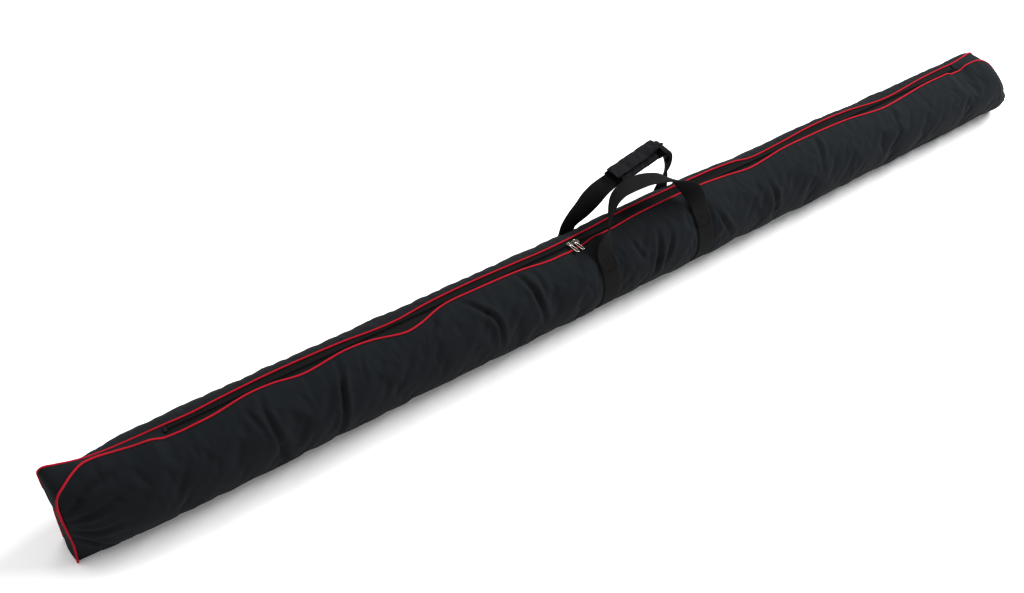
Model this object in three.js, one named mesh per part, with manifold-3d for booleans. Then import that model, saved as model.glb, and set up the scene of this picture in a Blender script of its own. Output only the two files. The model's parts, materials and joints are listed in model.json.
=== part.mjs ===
// Padded carry bag for a boom pole: a long tube of coated fabric with foam inside, closed by a
// two-way zip along its top, with red piping in both top seams, a flat gusset at each end, and a
// pair of webbing handles whose bands run right round the bag.
//
// Millimetres. +X runs along the bag to its right end, +Y to its back, +Z up. The origin lies
// under the middle of the bag, in the plane that the bag rests on.

import * as THREE from "three";
import { LoftGeometry } from "three/addons/geometries/LoftGeometry.js";
import { mergeVertices } from "three/addons/utils/BufferGeometryUtils.js";
import Module from "manifold-3d";

const wasm = await Module();
wasm.setup();

// ---------------------------------------------------------------- driving dimensions

const GAP = 0.3; // between layers and pieces that touch on the real bag

const bag = {
  halfLength: 912.5,
  radius: 61, // outside of the fabric, where the bag is round
  axisHeight: 60,
  baseHeight: 2, // the fabric's flat base stands on the two handle bands
  sidePoints: 12, // segments from a top seam down to the base
  openingAngle: 13.5, // from the top of the bag to each top seam, in degrees
  taperStart: 796, // the tube is round up to here, and narrows to the end gusset beyond it
  taperPower: 2, // above 1, so that the bag stays full until close to its end
  endHalfWidth: 23.8,
  cornerRadius: 48, // of the piping, where it turns down the end
};

const layers = {
  fabric: 1,
  foam: 5,
  lining: 0.6,
};

const piping = { radius: 1.75, topHeight: 119.6, topY: 11.9, endY: 22.9, sides: 8, footHeight: 4.6 };
const gusset = { thickness: 1, drop: 0.7, sideGap: 2.05, footHeight: 3.4 };

const zip = {
  height: 117.3, // middle of the tape's thickness
  halfLength: 769.6,
  tapeThickness: 0.6,
  tapeInner: 3.7,
  tapeOuter: 9.6,
  coilInner: 0.6,
  coilOuter: 3.4,
  coilThickness: 2.2,
  stopLength: 4.5,
};

const slider = {
  middle: -136.6, // where the two sliders meet, head to head
  length: 10,
  width: 9.4,
  plate: 1.2,
  flange: 1,
  crownLength: 3.2,
  bridgeShift: 0.4, // the bridge sits this far towards the head
  bridgeHeight: 3,
  bridgeSpan: 6.8,
  bar: 1,
};

const pull = {
  length: 23.5,
  width: 5.6,
  thickness: 1.2,
  ringInner: 1.15,
  ringOuter: 1.9,
  ringLength: 2.4,
  holeRadius: 1.5,
  droop: 1, // degrees below level, so that it just clears the piping
  skew: 12, // degrees towards the left end, seen from above
};

const webbing = { width: 30, thickness: 1.6, standOff: GAP };

const handles = {
  leftX: -108,
  rightX: 83,
  frontStation: 2, // which of the side points the band ends at, on each side of the bag
  backStation: 3,
  footLift: 1.5, // of the loop's foot above the band
};

// Each loop lies in a plane that leans over from its feet. A point is [x, rise in the plane,
// turn], where a turn of 90 degrees lays the webbing flat against the bag and 0 stands its width
// square to the plane, as a hand holds it.
const frontLoop = {
  lean: 24.5,
  left: [
    [-108, 0, 90],
    [-105.5, 8, 86],
    [-98.5, 19, 66],
    [-89.5, 33, 38],
    [-82, 51, 24],
    [-74, 64, 12],
    [-59, 75.5, 3],
    [-37, 80.5, 0],
  ],
  right: [
    [-7, 80, 0],
    [24, 72, 0],
    [46, 61, 8],
    [62, 49, 24],
    [74, 35, 50],
    [81.5, 17, 76],
    [83, 0, 90],
  ],
};

const backLoop = {
  lean: -7.5,
  left: [
    [-108, 0, -90],
    [-106.5, 8, -88],
    [-97, 20, -78],
    [-81, 32, -60],
    [-66, 46, -34],
    [-50, 58, -10],
    [-33, 65.2, 0],
  ],
  right: [
    [60, 92, 0],
    [69, 91, 0],
    [77, 80, 0],
    [81.5, 64, -10],
    [84, 45, -36],
    [84.5, 24, -68],
    [83, 0, -90],
  ],
};

const grip = {
  length: 88,
  halfWidth: 18,
  halfThickness: 4.5,
  slotHalfHeight: 1.3,
  wall: 2.3,
  patchThickness: 1,
  flapThickness: 1.6,
  flapWidth: 26.5,
};

const stitchedBox = { length: 24, width: 10.5, thickness: 0.5 };
const binding = { width: 8, thickness: 1 };

// ---------------------------------------------------------------- materials

const finishes = {
  coatedFabric: { color: 0x1d2126, roughness: 0.5, metalness: 0 },
  foam: { color: 0x9a9a96, roughness: 0.95, metalness: 0 },
  lining: { color: 0x2b2b2e, roughness: 0.8, metalness: 0 },
  redPiping: { color: 0xb01c38, roughness: 0.55, metalness: 0 },
  zipTape: { color: 0x151515, roughness: 0.85, metalness: 0 },
  zipCoil: { color: 0x1b1b1c, roughness: 0.45, metalness: 0 },
  nickel: { color: 0xc9c6be, roughness: 0.3, metalness: 1 },
  webbing: { color: 0x0f1011, roughness: 0.8, metalness: 0 },
  gripFabric: { color: 0x23272b, roughness: 0.45, metalness: 0 },
  hookAndLoop: { color: 0x131313, roughness: 0.95, metalness: 0 },
  thread: { color: 0x1a1a1b, roughness: 0.7, metalness: 0 },
};

const root = new THREE.Group();

function addPiece(name, geometry, finish, parent = root) {
  const mesh = new THREE.Mesh(geometry, new THREE.MeshStandardMaterial(finishes[finish]));
  mesh.name = name;
  parent.add(mesh);
  return mesh;
}

// ---------------------------------------------------------------- geometry helpers

const radians = THREE.MathUtils.degToRad;
const mix = THREE.MathUtils.lerp;
const Y_AXIS = new THREE.Vector3(0, 1, 0);

function signedVolume(geometry) {
  const at = geometry.getAttribute("position");
  const corners = [new THREE.Vector3(), new THREE.Vector3(), new THREE.Vector3()];
  let volume = 0;
  for (let i = 0; i < geometry.index.count; i += 3) {
    corners.forEach((corner, k) => corner.fromBufferAttribute(at, geometry.index.getX(i + k)));
    volume += corners[0].dot(corners[1].cross(corners[2])) / 6;
  }
  return volume;
}

// Splits each of a loft's four-sided faces along its shorter diagonal, so that two layers that
// follow one another are split alike and stay apart.
function splitAlongShorterDiagonals(geometry, faceCount) {
  const at = geometry.getAttribute("position");
  const index = geometry.index.array;
  const point = (i) => new THREE.Vector3().fromBufferAttribute(at, i);
  for (let face = 0; face < faceCount; face++) {
    const [a, b, d, , c] = index.slice(6 * face, 6 * face + 5);
    if (point(a).distanceTo(point(c)) < point(b).distanceTo(point(d))) {
      index.set([a, b, c, a, c, d], 6 * face);
    }
  }
}

// A closed solid through a row of sections, with its faces turned outwards.
function closedLoft(sections) {
  const caps = { capStart: true, capEnd: true };
  let geometry = new LoftGeometry(sections, caps);
  if (signedVolume(geometry) < 0) {
    geometry = new LoftGeometry(sections.map((section) => [...section].reverse()), caps);
  }
  splitAlongShorterDiagonals(geometry, (sections.length - 1) * sections[0].length);
  return geometry;
}

function solidFrom(geometry) {
  const bare = geometry.index ? geometry.toNonIndexed() : geometry.clone();
  bare.deleteAttribute("normal");
  bare.deleteAttribute("uv");
  const merged = mergeVertices(bare, 1e-4);
  const mesh = new wasm.Mesh({
    numProp: 3,
    vertProperties: merged.getAttribute("position").array,
    triVerts: new Uint32Array(merged.index.array),
  });
  return new wasm.Manifold(mesh);
}

function geometryFrom(solid) {
  const mesh = solid.getMesh();
  const geometry = new THREE.BufferGeometry();
  geometry.setAttribute("position", new THREE.BufferAttribute(mesh.vertProperties, 3));
  geometry.setIndex(new THREE.BufferAttribute(mesh.triVerts, 1));
  return geometry;
}

function joined(geometries) {
  const solids = geometries.map(solidFrom);
  return geometryFrom(solids.reduce((whole, solid) => whole.add(solid)));
}

function boxAt(sizeX, sizeY, sizeZ, x, y, z) {
  return new THREE.BoxGeometry(sizeX, sizeY, sizeZ).translate(x, y, z);
}

function roundedOutline(length, width, radius) {
  const shape = new THREE.Shape();
  const x = length / 2 - radius;
  const y = width / 2 - radius;
  shape.absarc(x, y, radius, 0, Math.PI / 2, false);
  shape.absarc(-x, y, radius, Math.PI / 2, Math.PI, false);
  shape.absarc(-x, -y, radius, Math.PI, 1.5 * Math.PI, false);
  shape.absarc(x, -y, radius, 1.5 * Math.PI, 2 * Math.PI, false);
  shape.closePath();
  return shape;
}

// ---------------------------------------------------------------- the bag's section

// 0 where the bag is round, 1 where it is as flat as its end gusset.
function flatness(x) {
  const along = (Math.abs(x) - bag.taperStart) / (bag.halfLength - bag.taperStart);
  return THREE.MathUtils.clamp(along, 0, 1) ** bag.taperPower;
}

const corner = {
  x: bag.halfLength - piping.radius - bag.cornerRadius,
  z: piping.topHeight - bag.cornerRadius,
};

const panelCornerRadius = bag.cornerRadius - piping.radius - 0.75;

// How far the panel's top edge lies below where it is on the round part of the bag. It goes from
// beside the piping to inside the piping's corner, and follows that corner down.
function topDrop(x) {
  const roundTop = bag.axisHeight + bag.radius * Math.cos(opening);
  const toCorner = THREE.MathUtils.smoothstep(Math.abs(x), bag.taperStart, corner.x);
  const beyond = Math.max(0, Math.abs(x) - corner.x);
  const rise = Math.sqrt(Math.max(0, panelCornerRadius ** 2 - beyond ** 2));
  return toCorner * (roundTop - corner.z - panelCornerRadius) + panelCornerRadius - rise;
}

function baseAngle(radius, base) {
  return Math.acos((base - bag.axisHeight) / radius);
}

const opening = radians(bag.openingAngle);
const stationStep = (baseAngle(bag.radius, bag.baseHeight) - opening) / bag.sidePoints;

// One side of a layer's face at x, from the top seam down to the base, as [y, z] with y
// positive. The layer's face lies inset from the outside of the fabric.
function sideProfile(x, inset, firstPoint = 0) {
  const flat = flatness(x);
  const radius = bag.radius - inset;
  const base = bag.baseHeight + inset;
  const fullHeight = bag.axisHeight + radius * Math.cos(opening) - base;
  const height = fullHeight - topDrop(x);
  const endY = bag.endHalfWidth - inset;
  const points = [];
  for (let i = firstPoint; i <= bag.sidePoints; i++) {
    const last = i === bag.sidePoints;
    const angle = last ? baseAngle(radius, base) : opening + i * stationStep;
    const roundShare = (bag.axisHeight + radius * Math.cos(angle) - base) / fullHeight;
    const y = mix(radius * Math.sin(angle), endY, flat);
    const z = base + height * mix(roundShare, 1 - i / bag.sidePoints, flat);
    points.push([y, z]);
  }
  return points;
}

// The C-shaped section of a layer at x: down the front, across the base and up the back on its
// outer face, then back again on its inner face.
function layerSection(x, outerInset, innerInset, frontFirst = 0, backFirst = 0) {
  const face = (inset) => [
    ...sideProfile(x, inset, frontFirst).map(([y, z]) => new THREE.Vector3(x, -y, z)),
    ...sideProfile(x, inset, backFirst)
      .reverse()
      .map(([y, z]) => new THREE.Vector3(x, y, z)),
  ];
  return [...face(outerInset), ...face(innerInset).reverse()];
}

function bagStations() {
  const endX = corner.x + panelCornerRadius;
  const half = [bag.taperStart];
  for (let i = 1; i <= 3; i++) half.push(mix(bag.taperStart, corner.x, i / 3));
  for (const angle of [28, 50, 70, 90]) {
    half.push(corner.x + panelCornerRadius * Math.sin(radians(angle)));
  }
  half[half.length - 1] = endX;
  return [...half.map((x) => -x).reverse(), ...half];
}

function buildLayers() {
  const stations = bagStations();
  const layer = (outer, inner) =>
    closedLoft(stations.map((x) => layerSection(x, outer, inner)));
  const foamOuter = layers.fabric + GAP;
  const foamInner = foamOuter + layers.foam;
  const liningOuter = foamInner + GAP;
  const liningInner = liningOuter + layers.lining;
  addPiece("main_panel", layer(0, layers.fabric), "coatedFabric");
  addPiece("foam_pad", layer(foamOuter, foamInner), "foam");
  addPiece("lining", layer(liningOuter, liningInner), "lining");
}

// ---------------------------------------------------------------- piping and end gussets

// The seam line at one end, from the top round the corner to the foot of the end, at a distance
// from the corner's centre. Each entry is [x, z, distance of the piping from the middle plane].
function seamLine(radius, footHeight) {
  const line = [];
  for (let i = 0; i <= 4; i++) {
    const x = mix(zip.halfLength + 1.8, corner.x, i / 4);
    line.push([x, corner.z + radius, mix(piping.topY, piping.endY, flatness(x))]);
  }
  for (let i = 1; i <= 6; i++) {
    const angle = (i / 6) * (Math.PI / 2);
    const x = corner.x + radius * Math.sin(angle);
    const y = mix(piping.topY, piping.endY, flatness(x));
    line.push([x, corner.z + radius * Math.cos(angle), y]);
  }
  line.push([corner.x + radius, footHeight, piping.endY]);
  return line;
}

function tubeAlong(points, radius, sides) {
  const sections = points.map((point, i) => {
    const before = points[Math.max(0, i - 1)];
    const after = points[Math.min(points.length - 1, i + 1)];
    const tangent = new THREE.Vector3().subVectors(after, before).normalize();
    const across = Y_AXIS.clone().addScaledVector(tangent, -tangent.y).normalize();
    const up = new THREE.Vector3().crossVectors(tangent, across);
    const section = [];
    for (let k = 0; k < sides; k++) {
      const angle = (2 * Math.PI * k) / sides;
      const spot = point.clone().addScaledVector(across, radius * Math.cos(angle));
      section.push(spot.addScaledVector(up, radius * Math.sin(angle)));
    }
    return section;
  });
  return closedLoft(sections);
}

function buildPiping(name, side) {
  const line = seamLine(bag.cornerRadius, piping.footHeight);
  const right = line.map(([x, z, y]) => new THREE.Vector3(x, side * y, z));
  const left = line.map(([x, z, y]) => new THREE.Vector3(-x, side * y, z)).reverse();
  addPiece(name, tubeAlong([...left, ...right], piping.radius, piping.sides), "redPiping");
}

function buildEndGusset(name, end) {
  const outer = seamLine(bag.cornerRadius - gusset.drop + gusset.thickness, gusset.footHeight);
  const inner = seamLine(bag.cornerRadius - gusset.drop, gusset.footHeight);
  const sections = outer.map(([x, z, seamY], i) => {
    const y = seamY - gusset.sideGap;
    const [innerX, innerZ] = inner[i];
    return [
      new THREE.Vector3(end * x, -y, z),
      new THREE.Vector3(end * x, y, z),
      new THREE.Vector3(end * innerX, y, innerZ),
      new THREE.Vector3(end * innerX, -y, innerZ),
    ];
  });
  addPiece(name, closedLoft(sections), "coatedFabric");
}

// ---------------------------------------------------------------- zip

function buildZipSide(label, side) {
  const tapeWidth = zip.tapeOuter - zip.tapeInner;
  const tapeY = (side * (zip.tapeOuter + zip.tapeInner)) / 2;
  const tape = boxAt(2 * zip.halfLength, tapeWidth, zip.tapeThickness, 0, tapeY, zip.height);
  addPiece(`zip_tape_${label}`, tape, "zipTape");
  const coilLength = 2 * (zip.halfLength - zip.stopLength - GAP);
  const coilWidth = zip.coilOuter - zip.coilInner;
  const coilY = (side * (zip.coilOuter + zip.coilInner)) / 2;
  const coil = boxAt(coilLength, coilWidth, zip.coilThickness, 0, coilY, zip.height);
  addPiece(`zip_coil_${label}`, coil, "zipCoil");
}

function buildZipStop(name, end) {
  const x = end * (zip.halfLength - zip.stopLength / 2);
  const stop = boxAt(zip.stopLength, 2 * zip.coilOuter, zip.coilThickness + GAP, x, 0, zip.height);
  addPiece(name, stop, "nickel");
}

const sliderTop = zip.height + zip.coilThickness / 2 + GAP + slider.plate;
const bridgeBarHeight = sliderTop + slider.bridgeHeight - slider.bar / 2;

// A slider with its head towards +X, centred on x = 0. Two plates hold the coils between them,
// joined by the crown that runs in the gap between the coils, with a bridge on top.
function sliderGeometry() {
  const plateMiddle = zip.coilThickness / 2 + GAP + slider.plate / 2;
  const outline = roundedOutline(slider.length, slider.width, 2.4);
  const parts = [];
  for (const side of [-1, 1]) {
    const plate = new THREE.ExtrudeGeometry(outline, {
      depth: slider.plate,
      bevelEnabled: false,
      curveSegments: 5,
    });
    plate.translate(0, 0, zip.height + side * plateMiddle - slider.plate / 2);
    parts.push(plate);
    const flangeHeight = plateMiddle - zip.tapeThickness / 2 - GAP;
    const flangeZ = zip.height + side * (plateMiddle - flangeHeight / 2);
    for (const flank of [-1, 1]) {
      const flangeY = (flank * (slider.width - slider.flange)) / 2;
      const flangeLength = slider.length - 3.6;
      parts.push(boxAt(flangeLength, slider.flange, flangeHeight, 0, flangeY, flangeZ));
    }
  }
  const crownX = slider.length / 2 - slider.crownLength / 2 - 0.6;
  parts.push(boxAt(slider.crownLength, 0.6, 2 * plateMiddle, crownX, 0, zip.height));
  const legHeight = slider.bridgeHeight + slider.plate / 2;
  const legZ = sliderTop + slider.bridgeHeight - legHeight / 2;
  const legX = (slider.bridgeSpan - slider.bar) / 2;
  for (const side of [-1, 1]) {
    const x = slider.bridgeShift + side * legX;
    parts.push(boxAt(slider.bar, slider.bar, legHeight, x, 0, legZ));
  }
  const bar = boxAt(slider.bridgeSpan, slider.bar, slider.bar, slider.bridgeShift, 0, 0);
  parts.push(bar.translate(0, 0, bridgeBarHeight));
  return joined(parts);
}

// A pull that points along -Y from a ring round the bridge's bar, centred on the bar.
function pullGeometry() {
  const ringShape = new THREE.Shape();
  ringShape.absarc(0, 0, pull.ringOuter, 0, 2 * Math.PI, false);
  const ringHole = new THREE.Path();
  ringHole.absarc(0, 0, pull.ringInner, 0, 2 * Math.PI, true);
  ringShape.holes.push(ringHole);
  const ring = new THREE.ExtrudeGeometry(ringShape, {
    depth: pull.ringLength,
    bevelEnabled: false,
    curveSegments: 8,
  });
  ring.translate(0, 0, -pull.ringLength / 2).rotateY(Math.PI / 2);
  const plateLength = pull.length - pull.ringOuter + 0.3;
  const plateShape = roundedOutline(pull.width, plateLength, 2.5);
  for (const holeY of [plateLength / 2 - 4.2, 3.6 - plateLength / 2]) {
    const hole = new THREE.Path();
    hole.absarc(0, holeY, pull.holeRadius, 0, 2 * Math.PI, true);
    plateShape.holes.push(hole);
  }
  const plate = new THREE.ExtrudeGeometry(plateShape, {
    depth: pull.thickness,
    bevelEnabled: false,
    curveSegments: 5,
  });
  plate.translate(0, -plateLength / 2 - pull.ringOuter + 0.3, -pull.thickness / 2);
  return joined([ring, plate]);
}

function buildSlider(label, head) {
  const x = slider.middle - head * (slider.length / 2 + GAP);
  const body = addPiece(`slider_${label}`, sliderGeometry(), "nickel");
  body.position.set(x, 0, 0);
  if (head < 0) body.rotation.z = Math.PI;
  const tab = addPiece(`pull_${label}`, pullGeometry(), "nickel");
  tab.position.set(x + head * slider.bridgeShift, 0, bridgeBarHeight);
  tab.rotation.set(radians(pull.droop), 0, radians(-pull.skew), "ZXY");
}

// ---------------------------------------------------------------- handles

// The band's faces lie outside the fabric, so their insets are negative.
function buildBand(name, middleX) {
  const inner = -webbing.standOff;
  const outer = inner - webbing.thickness;
  const ends = [middleX - webbing.width / 2, middleX + webbing.width / 2];
  const sections = ends.map((x) =>
    layerSection(x, outer, inner, handles.frontStation, handles.backStation),
  );
  addPiece(name, closedLoft(sections), "webbing");
}

const bandOuterRadius = bag.radius + webbing.standOff + webbing.thickness;

function stationAngle(index) {
  return opening + index * stationStep;
}

// The line that a loop swings about: through its two feet, just off the bands.
function footLine(side) {
  const station = side < 0 ? handles.frontStation : handles.backStation;
  const angle = stationAngle(station);
  const reach = bandOuterRadius + handles.footLift;
  return {
    y: side * reach * Math.sin(angle),
    z: bag.axisHeight + reach * Math.cos(angle),
  };
}

// A loop's own frame: up its leaning plane, and square to that plane towards the back.
function loopFrame(loop, side) {
  const lean = radians(loop.lean);
  const foot = footLine(side);
  return {
    foot,
    up: new THREE.Vector3(0, Math.sin(lean), Math.cos(lean)),
    normal: new THREE.Vector3(0, Math.cos(lean), -Math.sin(lean)),
    place(x, rise) {
      return new THREE.Vector3(x, foot.y, foot.z).addScaledVector(this.up, rise);
    },
  };
}

function curveThrough(entries, frame, divisions) {
  const spots = entries.map(([x, rise]) => frame.place(x, rise));
  const curve = new THREE.CatmullRomCurve3(spots, false, "centripetal");
  const steps = [];
  for (let i = 0; i <= divisions; i++) {
    const t = i / divisions;
    const place = t * (entries.length - 1);
    const k = Math.min(Math.floor(place), entries.length - 2);
    const turn = mix(entries[k][2], entries[k + 1][2], place - k);
    steps.push({ point: curve.getPoint(t), turn: radians(turn) });
  }
  return steps;
}

function buildLoop(name, loop, side) {
  const frame = loopFrame(loop, side);
  const steps = [
    ...curveThrough(loop.left, frame, 14),
    ...curveThrough(loop.right, frame, 14),
  ];
  const sections = steps.map(({ point, turn }, i) => {
    const tangent = new THREE.Vector3();
    if (i === 0) tangent.copy(frame.up);
    else if (i === steps.length - 1) tangent.copy(frame.up).negate();
    else tangent.subVectors(steps[i + 1].point, steps[i - 1].point).normalize();
    const inPlane = new THREE.Vector3().crossVectors(frame.normal, tangent).normalize();
    const across = frame.normal.clone().multiplyScalar(Math.cos(turn));
    across.addScaledVector(inPlane, Math.sin(turn));
    const through = new THREE.Vector3().crossVectors(tangent, across).normalize();
    const corners = [
      [-1, -1],
      [1, -1],
      [1, 1],
      [-1, 1],
    ];
    return corners.map(([a, b]) =>
      point
        .clone()
        .addScaledVector(across, (a * webbing.width) / 2)
        .addScaledVector(through, (b * webbing.thickness) / 2),
    );
  });
  addPiece(name, closedLoft(sections), "webbing");
}

function buildStitchedBox(name, middleX, side) {
  const station = side < 0 ? handles.frontStation : handles.backStation;
  const angle = stationAngle(station + 0.5);
  const reach = bandOuterRadius * Math.cos(stationStep / 2) + GAP + stitchedBox.thickness / 2;
  const { length, width, thickness } = stitchedBox;
  const box = addPiece(name, new THREE.BoxGeometry(length, width, thickness), "thread");
  box.position.set(middleX, side * reach * Math.sin(angle), bag.axisHeight + reach * Math.cos(angle));
  box.rotation.x = -side * angle;
}

// ---------------------------------------------------------------- grip on the back loop

// The grip's own frame: x along the webbing, y square to the loop's plane towards the back, and z
// up from the webbing's face.
function gripGroup() {
  const frame = loopFrame(backLoop, 1);
  const [startX, startRise] = backLoop.left[backLoop.left.length - 1];
  const [endX, endRise] = backLoop.right[0];
  const start = frame.place(startX, startRise);
  const end = frame.place(endX, endRise);
  const along = new THREE.Vector3().subVectors(end, start).normalize();
  const up = new THREE.Vector3().crossVectors(along, frame.normal);
  const group = new THREE.Group();
  const turn = new THREE.Matrix4().makeBasis(along, frame.normal, up);
  group.quaternion.setFromRotationMatrix(turn);
  group.position.copy(start).add(end).multiplyScalar(0.5);
  root.add(group);
  return group;
}

function gripSection(x) {
  const { halfWidth: w, halfThickness: h, slotHalfHeight: slot, wall } = grip;
  const bevel = 2;
  const upper = [
    [-w, slot],
    [-w, h - bevel],
    [-w + bevel, h],
    [w - bevel, h],
    [w, h - bevel],
  ];
  const lower = upper.map(([y, z]) => [y, -z]).reverse();
  const slotEnd = [
    [w - wall, -slot],
    [w - wall, slot],
  ];
  return [...upper, ...lower, ...slotEnd].map(([y, z]) => new THREE.Vector3(x, y, z));
}

function buildGrip() {
  const group = gripGroup();
  const half = grip.length / 2;
  addPiece("grip_wrap", closedLoft([gripSection(-half), gripSection(half)]), "gripFabric", group);
  const patchLength = grip.length - 10;
  const patchWidth = 20;
  const loopZ = grip.halfThickness + GAP + grip.patchThickness / 2;
  const hookZ = loopZ + grip.patchThickness + GAP;
  const flapZ = hookZ + grip.patchThickness / 2 + GAP + grip.flapThickness / 2;
  const flapBackY = grip.halfWidth - 1.6;
  const flapY = flapBackY - grip.flapWidth / 2;
  const patch = (z) => boxAt(patchLength, patchWidth, grip.patchThickness, 0, flapY, z);
  addPiece("grip_loop_patch", patch(loopZ), "hookAndLoop", group);
  addPiece("grip_hook_patch", patch(hookZ), "hookAndLoop", group);
  const flap = new THREE.ExtrudeGeometry(roundedOutline(grip.length, grip.flapWidth, 4), {
    depth: grip.flapThickness,
    bevelEnabled: false,
    curveSegments: 4,
  });
  flap.translate(0, flapY, flapZ - grip.flapThickness / 2);
  addPiece("grip_flap", flap, "gripFabric", group);
}

// ---------------------------------------------------------------- inside trim

function buildSeamBinding(name, side) {
  const liningInner = layers.fabric + layers.foam + layers.lining + 2 * GAP;
  const angle = stationAngle(0.5);
  const facet = (bag.radius - liningInner) * Math.cos(stationStep / 2);
  const reach = facet - GAP - binding.thickness / 2;
  const strip = new THREE.BoxGeometry(2 * bag.taperStart - 20, binding.width, binding.thickness);
  const mesh = addPiece(name, strip, "zipTape");
  mesh.position.set(0, side * reach * Math.sin(angle), bag.axisHeight + reach * Math.cos(angle));
  mesh.rotation.x = -side * angle;
}

// ---------------------------------------------------------------- the whole bag

const SIDES = [
  ["front", -1],
  ["back", 1],
];
const ENDS = [
  ["left", -1, handles.leftX],
  ["right", 1, handles.rightX],
];

buildLayers();
for (const [label, side] of SIDES) {
  buildPiping(`piping_${label}`, side);
  buildZipSide(label, side);
  buildSeamBinding(`seam_binding_${label}`, side);
}
for (const [label, end, handleX] of ENDS) {
  buildEndGusset(`end_gusset_${label}`, end);
  buildZipStop(`zip_stop_${label}`, end);
  buildSlider(label, -end);
  buildBand(`handle_band_${label}`, handleX);
  buildStitchedBox(`stitched_box_front_${label}`, handleX, -1);
  buildStitchedBox(`stitched_box_back_${label}`, handleX, 1);
}
buildLoop("handle_loop_front", frontLoop, -1);
buildLoop("handle_loop_back", backLoop, 1);
buildGrip();

export default root;
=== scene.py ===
"""Long padded carry bag for a boom pole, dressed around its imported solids.

The bag lies on its base along X. Two wavy red-piped seams run along its top with a zip between
them, a narrow gusset closes each end, and two webbing bands carry a pair of handle loops.
Everything is in metres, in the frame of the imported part.
"""

import json
import logging
import math
from dataclasses import dataclass, field
from enum import Enum
from typing import Optional, Sequence, Union

import bpy
import numpy as np
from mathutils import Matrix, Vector


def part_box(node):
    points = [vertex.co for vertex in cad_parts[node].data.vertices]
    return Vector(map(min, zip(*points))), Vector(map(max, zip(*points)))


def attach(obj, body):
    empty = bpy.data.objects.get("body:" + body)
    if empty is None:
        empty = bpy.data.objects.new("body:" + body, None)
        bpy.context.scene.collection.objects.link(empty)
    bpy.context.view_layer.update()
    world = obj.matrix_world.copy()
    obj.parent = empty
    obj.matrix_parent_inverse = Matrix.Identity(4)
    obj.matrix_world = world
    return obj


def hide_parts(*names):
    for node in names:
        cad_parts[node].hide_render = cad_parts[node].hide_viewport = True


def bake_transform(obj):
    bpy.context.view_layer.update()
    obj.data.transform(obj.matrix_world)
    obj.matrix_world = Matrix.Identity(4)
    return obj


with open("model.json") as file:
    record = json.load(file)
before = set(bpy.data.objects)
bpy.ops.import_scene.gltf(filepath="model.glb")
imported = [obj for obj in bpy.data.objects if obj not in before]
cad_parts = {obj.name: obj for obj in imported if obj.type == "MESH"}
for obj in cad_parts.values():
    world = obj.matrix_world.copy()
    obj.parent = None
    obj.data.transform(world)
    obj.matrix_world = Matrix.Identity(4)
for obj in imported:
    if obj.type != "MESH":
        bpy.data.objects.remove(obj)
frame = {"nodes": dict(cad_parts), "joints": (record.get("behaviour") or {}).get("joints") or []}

MM = 0.001
log = logging.getLogger("carry_bag")

Array = np.ndarray
Colour = tuple[float, float, float]


# ---------------------------------------------------------------- small number helpers


def smoothstep(low: float, high: float, value: Union[float, Array]) -> Union[float, Array]:
    """Goes from 0 at low to 1 at high with level ends."""
    share = np.clip((value - low) / (high - low), 0.0, 1.0)
    return share * share * (3 - 2 * share)


def unit(vectors: Array) -> Array:
    """Vectors scaled to length one, along the last axis."""
    lengths = np.linalg.norm(vectors, axis=-1, keepdims=True)
    return vectors / np.maximum(lengths, 1e-12)


def smooth_line(points: Sequence[Sequence[float]], step: float) -> Array:
    """Runs a centripetal spline through points and spaces it evenly.

    Args:
        points: the points that the line goes through, in order.
        step: the distance between neighbouring points of the result.

    Returns:
        The evenly spaced points, ends included, one per row.
    """
    given = np.array(points, float)
    first, last = 2 * given[0] - given[1], 2 * given[-1] - given[-2]
    given = np.vstack([first, given, last])
    dense = []
    for a, b, c, d in zip(given, given[1:], given[2:], given[3:]):
        ka, kb, kc = (max(np.linalg.norm(q - p), 1e-9) ** 0.5 for p, q in ((a, b), (b, c), (c, d)))
        leave = (b - a) / ka - (c - a) / (ka + kb) + (c - b) / kb
        arrive = (c - b) / kb - (d - b) / (kb + kc) + (d - c) / kc
        t = np.linspace(0, 1, 24, endpoint=False)[:, None]
        dense.append(
            (2 * t**3 - 3 * t**2 + 1) * b
            + (t**3 - 2 * t**2 + t) * kb * leave
            + (3 * t**2 - 2 * t**3) * c
            + (t**3 - t**2) * kb * arrive
        )
    return evenly(np.vstack([*dense, given[-2:-1]]), step)


def evenly(line: Array, step: float) -> Array:
    """Spaces a dense line's points evenly, about step apart.

    Args:
        line: a dense line, one point per row.
        step: the spacing to aim for.

    Returns:
        The evenly spaced points, both ends kept.
    """
    run = np.concatenate([[0], np.cumsum(np.linalg.norm(np.diff(line, axis=0), axis=1))])
    count = max(2, round(run[-1] / step) + 1)
    at = np.linspace(0, run[-1], count)
    return np.stack([np.interp(at, run, line[:, k]) for k in range(line.shape[1])], axis=1)


def wander(value: Array, scale: float, phase: float) -> Array:
    """A slow irregular sway between about -1 and 1, with no repeat that the eye can find."""
    turn = 2 * math.pi * value / scale
    return 0.5 * np.sin(turn + phase) + 0.3 * np.sin(1.73 * turn + 2.1 * phase) + 0.2 * np.sin(
        2.91 * turn + 0.7 * phase
    )


# ---------------------------------------------------------------- meshes


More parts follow.
